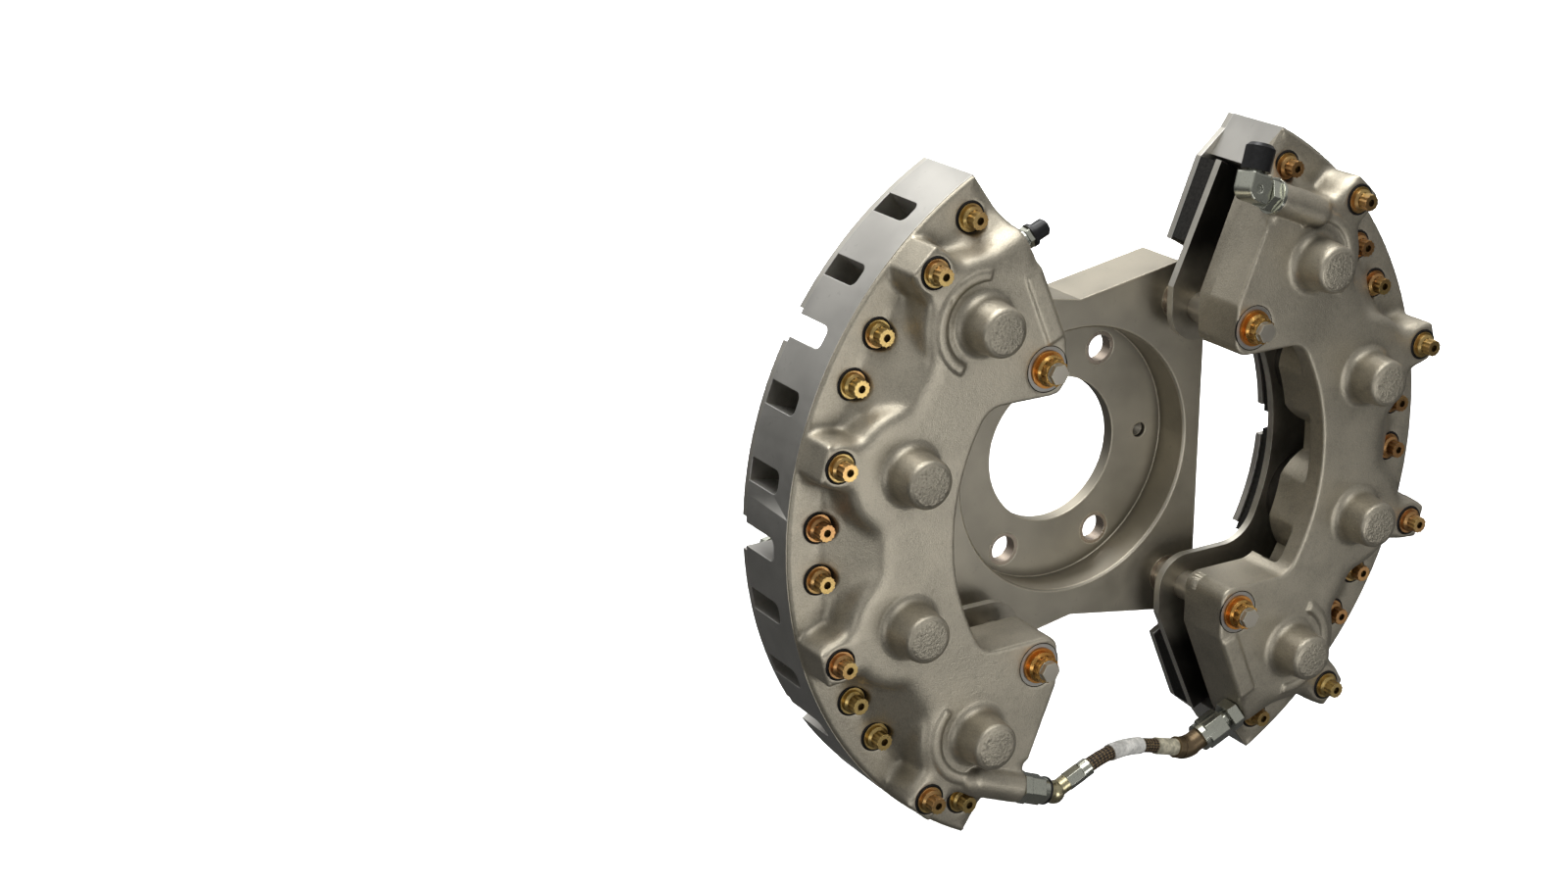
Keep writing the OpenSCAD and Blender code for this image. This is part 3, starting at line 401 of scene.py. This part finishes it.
def braid_finish(name, dark, light):
    """Woven cover: two sets of strands that cross along the hose."""
    g = new_finish(name)
    where = g.node("ShaderNodeUVMap", {"uv_map": "UVMap"})
    along, around = (g.node("ShaderNodeSeparateXYZ", None, {0: where}, out=i) for i in range(2))
    one = (along * WEAVE_ALONG + around * WEAVE_AROUND).sine()
    two = (along * WEAVE_ALONG - around * WEAVE_AROUND).sine()
    weave = (one * two).between(-0.15, 0.55)
    fleck = g.noise(1400.0, 2.0).between(0.55, 0.75)
    tone = g.mix(weave, dark, light)
    tone = g.mix(fleck * 0.6, tone, STRAND_FLECK)
    return g.finish(
        base_color=tone, metallic=0.15, roughness=0.55, normal=g.bump(weave, 0.0006, 1.0)
    )


class BrakeSizes(bpy.types.PropertyGroup):
    """Sizes of the casting skin and the hose."""

    voxel: FloatProperty(
        name="Skin voxel",
        description="Grid size of the casting skin",
        default=0.00065,
        unit="LENGTH",
    )
    split_depth: FloatProperty(
        name="Band depth",
        description="Depth behind the cast face at which the machined band begins",
        default=0.01965,
        unit="LENGTH",
    )
    spare_depth: FloatProperty(
        name="Spare depth",
        description="Extra depth that is smoothed with the skin and then cut away",
        default=0.004,
        unit="LENGTH",
    )
    passes: IntProperty(
        name="Smoothing passes", description="Passes that round the cast edges", default=6
    )
    pocket_passes: IntProperty(
        name="Pocket passes", description="Further passes that soften the pockets", default=120
    )
    kept_share: FloatProperty(
        name="Kept share",
        description="Share of the skin's faces that are kept",
        default=0.5,
        subtype="FACTOR",
    )
    hose_radius: FloatProperty(
        name="Hose radius",
        description="Outer radius of the hose",
        default=0.00345,
        unit="LENGTH",
    )
    sleeve_radius: FloatProperty(
        name="Sleeve radius",
        description="Outer radius of the sleeve",
        default=0.0041,
        unit="LENGTH",
    )


class BrakeColours(bpy.types.PropertyGroup):
    """Colours of the finishes, linear."""

    casting: FloatVectorProperty(
        name="Casting",
        description="Blasted casting",
        subtype="COLOR",
        default=(0.405, 0.369, 0.293),
    )
    band: FloatVectorProperty(
        name="Band",
        description="Machined wall",
        subtype="COLOR",
        default=(0.52, 0.505, 0.465),
    )
    torque: FloatVectorProperty(
        name="Torque plate",
        description="Torque plate",
        subtype="COLOR",
        default=(0.415, 0.380, 0.306),
    )
    steel: FloatVectorProperty(
        name="Plate steel",
        description="Back plates",
        subtype="COLOR",
        default=(0.60, 0.575, 0.51),
    )
    gold: FloatVectorProperty(
        name="Gold plating",
        description="Tie bolts",
        subtype="COLOR",
        default=(0.56, 0.40, 0.15),
    )
    copper: FloatVectorProperty(
        name="Copper plating",
        description="Copper tint that the tie bolts drift to",
        subtype="COLOR",
        default=(0.50, 0.27, 0.11),
    )
    zinc: FloatVectorProperty(
        name="Zinc plating",
        description="Hose fittings and tie nuts",
        subtype="COLOR",
        default=(0.66, 0.67, 0.57),
    )


class BrakeLight(bpy.types.PropertyGroup):
    """Studio light."""

    overhead: FloatProperty(
        name="Overhead",
        description="Power of the overhead light",
        default=17.0,
        unit="POWER",
    )
    back: FloatProperty(
        name="Back",
        description="Power of the light behind",
        default=6.5,
        unit="POWER",
    )
    front: FloatProperty(
        name="Front",
        description="Power of the low front light",
        default=1.15,
        unit="POWER",
    )
    side: FloatProperty(
        name="Side",
        description="Power of the left fill light",
        default=1.3,
        unit="POWER",
    )
    low: FloatProperty(
        name="Low",
        description="Power of the low right light",
        default=0.06,
        unit="POWER",
    )
    floor: FloatProperty(
        name="Floor",
        description="Power of the floor light",
        default=105.0,
        unit="POWER",
    )
    sky: FloatProperty(name="Sky", description="Strength of the surround above", default=0.40)
    ground: FloatProperty(name="Ground", description="Strength of the surround below", default=0.07)


def dress(node, material):
    """Gives a solid its finish."""
    mesh = NODES[node].data
    mesh.materials.clear()
    mesh.materials.append(material)


def dress_both(names, material):
    for side in SIDES:
        for name in names:
            dress(side + "_" + name, material)


def add_piece(name, mesh, body, slot, *stands_for):
    piece = bpy.data.objects.new(name, mesh)
    bpy.context.scene.collection.objects.link(piece)
    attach(piece, body)
    if stands_for:
        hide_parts(*stands_for)
    return piece


def mesh_from(bm, name, smooth_angle=None):
    mesh = bpy.data.meshes.new(name)
    bm.to_mesh(mesh)
    bm.free()
    if smooth_angle is None:
        mesh.shade_smooth()
    else:
        mesh.set_sharp_from_angle(angle=math.radians(smooth_angle))
    return mesh


def merged_copy(node):
    bm = bmesh.new()
    bm.from_mesh(NODES[node].data)
    bmesh.ops.remove_doubles(bm, verts=bm.verts, dist=MERGE)
    return bm


def cut_at(bm, y, keep_front):
    """Keeps one side of the plane at y and closes the cut."""
    normal = Vector((0, 1 if keep_front else -1, 0))
    found = bmesh.ops.bisect_plane(
        bm,
        geom=bm.verts[:] + bm.edges[:] + bm.faces[:],
        dist=1e-7,
        plane_co=(0, y, 0),
        plane_no=normal,
        clear_outer=True,
    )
    rim = [g for g in found["geom_cut"] if isinstance(g, bmesh.types.BMEdge)]
    bmesh.ops.triangle_fill(bm, use_beauty=True, edges=rim, normal=normal)


def baked_modifiers(obj, name):
    graph = bpy.context.evaluated_depsgraph_get()
    mesh = bpy.data.meshes.new_from_object(obj.evaluated_get(graph))
    mesh.name = name
    bpy.data.objects.remove(obj)
    return mesh


def smoothed(bm, verts, passes):
    for _ in range(passes):
        bmesh.ops.smooth_vert(
            bm, verts=verts, factor=0.5, use_axis_x=True, use_axis_y=True, use_axis_z=True
        )


def tie_places():
    """Axis and seat depth of each tie bolt of the left caliper."""
    for r, angle, seat in TIES:
        turn = math.radians(angle)
        yield -r * math.cos(turn), r * math.sin(turn), seat


def pocket_margin(point, places):
    """How far a point lies inside the band of lobes and pockets, clear of the washer seats."""
    if point.y < FACE_Y - RAISED:
        return -1.0
    r = math.hypot(point.x, point.z)
    near = min(math.hypot(point.x - x, point.z - z) for x, z, _ in places)
    deep = FACE_Y + SOFT_DEPTH - point.y
    return min(r - SOFT_INNER_R, SOFT_OUTER_R - r, deep, near - SOFT_CLEAR)


def bore_of(point, bores):
    """The bore whose surface a point lies on, or None."""
    depth = point.y - FACE_Y
    if depth < BORE_END - BORE_NEAR:
        return None
    for x, z in bores:
        r = math.hypot(point.x - x, point.z - z)
        at_end = depth < BORE_END + BORE_NEAR
        if r < BORE_R + BORE_NEAR and (r > BORE_R - BORE_NEAR or at_end):
            return x, z
    return None


def open_bore(vert, axis):
    """Moves a point of a bore outward, so that the piston keeps its room."""
    x, z = axis
    r = math.hypot(vert.co.x - x, vert.co.z - z)
    if r > BORE_R - BORE_NEAR:
        share = (BORE_R + BORE_ROOM) / r
        vert.co.x = x + (vert.co.x - x) * share
        vert.co.z = z + (vert.co.z - z) * share
    if vert.co.y < FACE_Y + BORE_END + BORE_NEAR:
        vert.co.y = FACE_Y + BORE_END - BORE_ROOM


def rounded_skin(sizes):
    """The cast part of the left housing as one soft skin, cut clean at the machined band."""
    split = FACE_Y + sizes.split_depth
    bm = merged_copy("left_housing")
    cut_at(bm, split + sizes.spare_depth, True)
    rough = bpy.data.objects.new("skin_blank", mesh_from(bm, "skin_blank"))
    bpy.context.scene.collection.objects.link(rough)
    remesh = rough.modifiers.new("grid", "REMESH")
    remesh.mode = "VOXEL"
    remesh.voxel_size = sizes.voxel
    mesh = baked_modifiers(rough, "skin")
    bm = bmesh.new()
    bm.from_mesh(mesh)
    bpy.data.meshes.remove(mesh)
    turns = [math.radians(a) for a in PISTONS]
    bores = [(-BORE_PITCH * math.cos(a), BORE_PITCH * math.sin(a)) for a in turns]
    bored = [(v, bore_of(v.co, bores)) for v in bm.verts]
    outside = [v for v, bore in bored if bore is None]
    smoothed(bm, outside, sizes.passes)
    # Each further pass reaches a little less far, so the softening fades out at its bounds
    places = list(tie_places())
    reach = [(pocket_margin(v.co, places), v) for v in outside]
    for step in range(sizes.pocket_passes):
        smoothed(bm, [v for margin, v in reach if margin > step * FADE], 1)
    for vert, bore in bored:
        if bore:
            open_bore(vert, bore)
    cut_at(bm, split, True)
    fine = bpy.data.objects.new("fine_skin", mesh_from(bm, "fine_skin"))
    bpy.context.scene.collection.objects.link(fine)
    thin = fine.modifiers.new("thin", "DECIMATE")
    thin.ratio = sizes.kept_share
    mesh = baked_modifiers(fine, "casting_skin")
    mesh.set_sharp_from_angle(angle=math.radians(SKIN_SHARP))
    return mesh


def machined_body(sizes):
    """The rest of the housing: material 0 on the turned wall, 1 on the cast sides."""
    bm = merged_copy("left_housing")
    cut_at(bm, FACE_Y + sizes.split_depth, False)
    for face in bm.faces:
        middle = face.calc_center_median()
        r = math.hypot(middle.x, middle.z)
        turned = r > WALL_R or (middle.y - FACE_Y > BLOCK_DEPTH and r > LINING_R)
        face.material_index = 0 if turned else 1
    return mesh_from(bm, "machined_body", WALL_SHARP)


class BRAKE_OT_castings(bpy.types.Operator):
    """Build the casting skins and the machined walls of both calipers"""

    bl_idname = "brake.castings"
    bl_label = "Castings"

    def execute(self, context):
        sizes = context.scene.brake_sizes
        tints = context.scene.brake_colours
        cast = cast_finish("casting", tuple(tints.casting), 0.00018, 0.45)
        turned = machined_finish("machined wall", tuple(tints.band), 0.40, 0.0005, corner_shade=0.10)
        skin = rounded_skin(sizes)
        body = machined_body(sizes)
        for mesh, finishes in ((skin, [cast]), (body, [turned, cast])):
            for finish in finishes:
                mesh.materials.append(finish)
        for side in SIDES:
            for kind, mesh in (("casting", skin), ("wall", body)):
                add_piece(
                    side + "_" + kind,
                    turned_to(side, mesh),
                    side + "_caliper",
                    "cast_housing",
                    side + "_housing",
                )
        return {"FINISHED"}


def turned_to(side, mesh):
    """A copy of a mesh drawn for the left caliper, turned for the right one."""
    own = mesh.copy()
    if side == "right":
        own.transform(HALF_TURN)
    return own


def ring_at(bm, place, profile):
    """Turns a profile of (radius, depth) points about an axis along Y through place."""
    x, z = place
    verts = [bm.verts.new((x + r, FACE_Y + depth, z)) for r, depth in profile]
    edges = [bm.edges.new((verts[i], verts[(i + 1) % len(verts)])) for i in range(len(verts))]
    bmesh.ops.spin(
        bm,
        geom=verts + edges,
        cent=(x, 0, z),
        axis=(0, 1, 0),
        angle=2 * math.pi,
        steps=RING_SIDES,
        use_merge=True,
    )


def ring_mesh(places, profile, name):
    """One closed ring at each (x, z, seat depth); the profile is in millimetres."""
    bm = bmesh.new()
    for x, z, seat in places:
        ring_at(bm, (x, z), [(r * MM, seat + d * MM) for r, d in profile])
    bmesh.ops.remove_doubles(bm, verts=bm.verts, dist=MERGE)
    bmesh.ops.recalc_face_normals(bm, faces=bm.faces)
    return mesh_from(bm, name, ROUND_SHARP)


class BRAKE_OT_seat_rings(bpy.types.Operator):
    """Build the black rings of painted shadow round the tie washers, and the turned seats of the
    anchor nuts with a black line of painted shadow at their edge
    """

    bl_idname = "brake.seat_rings"
    bl_label = "Seat rings"

    def execute(self, context):
        tints = context.scene.brake_colours
        ties = [(x, z, seat + SPOT_DEPTH) for x, z, seat in tie_places()]
        anchors = [(-ANCHOR_X, s * ANCHOR_Z, SPOT_DEPTH) for s in (-1, 1)]
        # Painted shadow: near black rings in the gaps round the tie washers and at the anchor
        # seats' edge
        black = dull_finish("sealant", GAP_SHADOW, 0.5, 0.00004, 900.0)
        bare_metal = machined_finish("turned seat", shade(tints.band, 0.72), 0.42, 0.0001)
        for name, places, profile, finish, slot in (
            ("tie_sealant", ties, TIE_SHADOW_RING, black, "seal"),
            ("anchor_seats", anchors, TURNED_SEAT, bare_metal, "cast_housing"),
            ("anchor_sealant", anchors, SEAT_SHADOW_LINE, black, "seal"),
        ):
            mesh = ring_mesh(places, profile, name)
            mesh.materials.append(finish)
            for side in SIDES:
                add_piece(side + "_" + name, turned_to(side, mesh), side + "_caliper", slot)
        return {"FINISHED"}


class BRAKE_OT_torque_plate(bpy.types.Operator):
    """Finish the torque plate and its bushings"""

    bl_idname = "brake.torque_plate"
    bl_label = "Torque plate"

    def execute(self, context):
        tint = tuple(context.scene.brake_colours.torque)
        # The torque plate's edges carry the full painted highlight, and its corners painted shade
        plate = machined_finish("torque plate", tint, 0.42, 0.0008, corner_shade=0.40, rim=1.0)
        dress("torque_plate", plate)
        bush = machined_finish("bushing", BUSHING, 0.28, 0.0003, marked=0.1)
        dress("axle_bushings", bush)
        dress("anchor_bushings", bush)
        return {"FINISHED"}


class BRAKE_OT_plates(bpy.types.Operator):
    """Finish the plates, linings, pistons and seals"""

    bl_idname = "brake.plates"
    bl_label = "Plates and linings"

    def execute(self, context):
        tint = tuple(context.scene.brake_colours.steel)
        steel = machined_finish("plate steel", tint, 0.34, 0.0004)
        pressed = plate_finish("pressure plate", PLATE_FACE_SHADOW, BRIGHT_EDGE, LUG_STEEL)
        lining = dull_finish("friction lining", LINING, 0.82, 0.0003, 900.0)
        dress_both(("back_plates",), steel)
        dress_both(("pressure_plate",), pressed)
        dress_both(("back_linings", "pressure_linings"), lining)
        piston = machined_finish("piston", PISTON, 0.4)
        dress_both(["piston_%d" % i for i in range(1, 5)], piston)
        dress_both(("seals",), dull_finish("seal rubber", SEAL, 0.6, 0.0001, 700.0))
        return {"FINISHED"}


class BRAKE_OT_fasteners(bpy.types.Operator):
    """Finish the tie bolts, anchor bolts, washers and nuts"""

    bl_idname = "brake.fasteners"
    bl_label = "Fasteners"

    def execute(self, context):
        tints = context.scene.brake_colours
        gold, copper, zinc = tuple(tints.gold), tuple(tints.copper), tuple(tints.zinc)
        pin = machined_finish("anchor steel", ANCHOR_STEEL, 0.36, 0.0003, marked=0.1)
        for name, finish in (
            ("tie_bolts", plated_finish("gold bolt", gold, copper, 0.30)),
            ("tie_washers", plated_finish("gold washer", shade(gold, 0.8), copper, 0.34)),
            ("tie_nuts", plated_finish("zinc nut", zinc, shade(zinc, 0.8), 0.32)),
            ("anchor_bolts", pin),
            ("anchor_washers", plated_finish("orange washer", *ORANGE_WASHER, 0.30)),
            ("anchor_nuts", plated_finish("orange nut", *ORANGE_NUT, 0.26)),
        ):
            dress_both((name,), finish)
        return {"FINISHED"}


class BRAKE_OT_fittings(bpy.types.Operator):
    """Finish the bleeder, the inlet and the hose fittings"""

    bl_idname = "brake.fittings"
    bl_label = "Fittings"

    def execute(self, context):
        zinc = tuple(context.scene.brake_colours.zinc)
        tints = shade(zinc, 1.05), shade(zinc, 0.86)
        pale = plated_finish("zinc fitting", zinc, shade(zinc, 0.82), 0.17, edge=0.0005, corner_shade=0.12)
        forged = plated_finish("forged elbow", *tints, 0.19, edge=0.0014, corner_shade=0.12)
        black = dull_finish("black cap", BLACK_CAP, 0.34, 0.00005, 500.0, 0.4)
        olive = plated_finish("olive elbow", *OLIVE, 0.28, edge=0.0005)
        brown = plated_finish("brown elbow", *BROWN, 0.36, metallic=0.8)
        cream = dull_finish("cream band", CREAM, 0.45, 0.00003, 350.0, 0.5)
        for finish, nodes in (
            (pale, ("bleeder_valve", "inlet_jam_nut", "left_hose_adapter", "left_hose_nut")),
            (pale, ("left_hose_ferrule", "right_hose_nut", "right_hose_adapter")),
            (forged, ("inlet_elbow",)),
            (black, ("bleeder_cap", "inlet_cap", "left_hose_ring")),
            (olive, ("left_hose_elbow",)),
            (brown, ("right_hose_elbow",)),
            (cream, ("right_hose_ferrule",)),
        ):
            for node in nodes:
                dress(node, finish)
        return {"FINISHED"}


def hose_points(first, last, count):
    """Points on the hose's line, the same cubic curve as the solid's, from one share to another."""
    ends = []
    for side, height, depth, run, leg, way, turn in HOSE_ENDS:
        port = Vector((side * (END_X + END_SLOPE * (height - END_Z) + PORT_STEP), -height))
        out = Vector((math.cos(way), math.sin(way)))
        away = Vector((math.cos(way + turn), math.sin(way + turn)))
        ends.append((port + run * out + leg * away, away, depth))
    (a, a_way, a_depth), (d, d_way, d_depth) = ends
    pull = HOSE_PULL * (d - a).length
    b, c = a + pull * a_way, d + pull * d_way
    line = []
    for i in range(count + 1):
        t = first + (last - first) * i / count
        s = 1 - t
        p = s ** 3 * a + 3 * t * s ** 2 * b + 3 * t * t * s * c + t ** 3 * d
        depth = a_depth + (d_depth - a_depth) * t * t * (3 - 2 * t)
        line.append(Vector((p.x * MM, FACE_Y + depth * MM, p.y * MM)))
    return line


def swept(line, radius, name, bore=None):
    """A round bar or tube along a line, with its length and turn kept as a map."""
    bm = bmesh.new()
    last = len(line) - 1
    ways = [(line[min(i + 1, last)] - line[max(i - 1, 0)]).normalized() for i in range(last + 1)]
    made = bmesh.ops.create_circle(bm, cap_ends=False, radius=radius, segments=HOSE_SIDES)
    turn = ways[0].to_track_quat("Z", "Y").to_matrix().to_4x4()
    bmesh.ops.transform(bm, matrix=Matrix.Translation(line[0]) @ turn, verts=made["verts"])
    edges = bm.edges[:]
    rings = [made["verts"]]
    for i in range(1, len(line)):
        out = bmesh.ops.extrude_edge_only(bm, edges=edges)["geom"]
        verts = [g for g in out if isinstance(g, bmesh.types.BMVert)]
        drawn = [g for g in out if isinstance(g, bmesh.types.BMEdge)]
        edges = [edge for edge in drawn if all(v in verts for v in edge.verts)]
        swing = ways[i - 1].rotation_difference(ways[i]).to_matrix().to_4x4()
        bmesh.ops.transform(
            bm,
            matrix=Matrix.Translation(line[i]) @ swing @ Matrix.Translation(-line[i - 1]),
            verts=verts,
        )
        rings.append(verts)
    layer = bm.loops.layers.uv.new("UVMap")
    length = [0.0]
    for i in range(1, len(line)):
        length.append(length[-1] + (line[i] - line[i - 1]).length)
    place = {v: (i, k) for i, ring in enumerate(rings) for k, v in enumerate(ring)}
    for face in bm.faces:
        turns = [place[loop.vert][1] / HOSE_SIDES for loop in face.loops]
        wraps = max(turns) - min(turns) > 0.5
        for loop, share in zip(face.loops, turns):
            lap = 1 if wraps and share < 0.5 else 0
            loop[layer].uv = (length[place[loop.vert][0]], share + lap)
    if bore:
        bmesh.ops.recalc_face_normals(bm, faces=bm.faces)
        bmesh.ops.solidify(bm, geom=bm.faces[:], thickness=radius - bore)
    else:
        bmesh.ops.holes_fill(bm, edges=[e for e in bm.edges if e.is_boundary], sides=0)
    bmesh.ops.recalc_face_normals(bm, faces=bm.faces)
    return mesh_from(bm, name, ROUND_SHARP)


class BRAKE_OT_hose(bpy.types.Operator):
    """Build the braided hose and its blank sleeve"""

    bl_idname = "brake.hose"
    bl_label = "Hose"

    def execute(self, context):
        sizes = context.scene.brake_sizes
        line = hose_points(0.0, 1.0, HOSE_STEPS)
        hose = swept(line, sizes.hose_radius, "hose")
        hose.materials.append(braid_finish("hose braid", *STRANDS))
        braid = add_piece("hose_braid", hose, "left_caliper", "hose_braid", "crossover_hose")
        covered = hose_points(SLEEVE_FROM, SLEEVE_TO, SLEEVE_STEPS)
        sleeve = swept(covered, sizes.sleeve_radius, "sleeve", sizes.hose_radius + SLEEVE_GAP)
        white = dull_finish("white sleeve", WHITE_SLEEVE, 0.40, 0.00002, 160.0, 0.5)
        sleeve.materials.append(white)
        marker = add_piece("marker_sleeve", sleeve, "left_caliper", "sleeve", "hose_sleeve")
        return {"FINISHED"}


def studio_world(scene, sky, ground):
    """Soft surround, bright above and dim below."""
    world = bpy.data.worlds.new("studio")
    scene.world = world
    g = Graph(world)
    where = g.node("ShaderNodeTexCoord", out="Generated")
    rise = g.node("ShaderNodeSeparateXYZ", None, {0: where}, out=2).between(-0.12, 0.30)
    shine = g.mix(rise, (ground, ground, ground), (sky, sky, sky))
    back = g.node("ShaderNodeBackground", None, {"Color": shine})
    out = g.tree.nodes.new("ShaderNodeOutputWorld")
    g.tree.links.new(back.socket, out.inputs[0])


def area_light(name, place, aim, size, power, spread):
    """A lamp at a place, turned towards the point it aims at."""
    data = bpy.data.lights.new(name, "AREA")
    data.spread = spread
    data.shape = "RECTANGLE"
    data.size, data.size_y = size
    data.energy = power
    lamp = bpy.data.objects.new(name, data)
    lamp.location = place
    lamp.rotation_euler = (Vector(aim) - Vector(place)).to_track_quat("-Z", "Y").to_euler()
    bpy.context.scene.collection.objects.link(lamp)


class BRAKE_OT_stage(bpy.types.Operator):
    """Set the floor, the studio light and the camera"""

    bl_idname = "brake.stage"
    bl_label = "Stage"

    def execute(self, context):
        scene = context.scene
        light = scene.brake_light
        bm = bmesh.new()
        bmesh.ops.create_grid(bm, x_segments=1, y_segments=1, size=FLOOR_HALF)
        bmesh.ops.translate(bm, vec=(0, 0, FLOOR_Z), verts=bm.verts)
        floor = bpy.data.objects.new("floor", mesh_from(bm, "floor"))
        scene.collection.objects.link(floor)
        pale = new_finish("pale floor").finish(base_color=PALE_FLOOR, roughness=0.9)
        floor.data.materials.append(pale)
        # The pale floor is a backdrop, so it neither lights the brake nor shows in its metal
        floor.visible_diffuse = floor.visible_glossy = False
        studio_world(scene, light.sky, light.ground)
        for name, setting, place, aim, size, spread in LAMPS:
            area_light(name, place, aim, size, getattr(light, setting), spread)
        scene.view_settings.view_transform = "Standard"
        data = bpy.data.cameras.new("camera")
        data.lens = LENS
        data.sensor_width = SENSOR
        data.clip_start = 0.01
        camera = bpy.data.objects.new("camera", data)
        ways = (Vector(CAMERA_RIGHT), Vector(CAMERA_UP), -Vector(CAMERA_AHEAD))
        turn = Matrix(ways).transposed().to_4x4()
        camera.matrix_world = Matrix.Translation(CAMERA_PLACE) @ turn
        scene.collection.objects.link(camera)
        scene.camera = camera
        return {"FINISHED"}


class BRAKE_PT_panel(bpy.types.Panel):
    """Lists the steps and their settings"""

    bl_idname = "BRAKE_PT_panel"
    bl_label = "Brake"
    bl_space_type = "VIEW_3D"
    bl_region_type = "UI"
    bl_category = "Brake"

    def draw(self, context):
        for operator in OPERATORS:
            self.layout.operator(operator.bl_idname)
        for name in ("brake_sizes", "brake_colours", "brake_light"):
            group = getattr(context.scene, name)
            for key in group.__annotations__:
                self.layout.prop(group, key)


GROUPS = {"brake_sizes": BrakeSizes, "brake_colours": BrakeColours, "brake_light": BrakeLight}
OPERATORS = (
    BRAKE_OT_stage,
    BRAKE_OT_castings,
    BRAKE_OT_seat_rings,
    BRAKE_OT_torque_plate,
    BRAKE_OT_plates,
    BRAKE_OT_fasteners,
    BRAKE_OT_fittings,
    BRAKE_OT_hose,
)


def register():
    for made in (*GROUPS.values(), *OPERATORS, BRAKE_PT_panel):
        bpy.utils.register_class(made)
    for name, group in GROUPS.items():
        setattr(bpy.types.Scene, name, PointerProperty(type=group))


def unregister():
    for name in GROUPS:
        delattr(bpy.types.Scene, name)
    for made in reversed((*GROUPS.values(), *OPERATORS, BRAKE_PT_panel)):
        bpy.utils.unregister_class(made)


def main():
    register()
    bpy.ops.brake.stage()
    bpy.ops.brake.castings()
    bpy.ops.brake.seat_rings()
    bpy.ops.brake.torque_plate()
    bpy.ops.brake.plates()
    bpy.ops.brake.fasteners()
    bpy.ops.brake.fittings()
    bpy.ops.brake.hose()


if __name__ == "__main__":
    main()
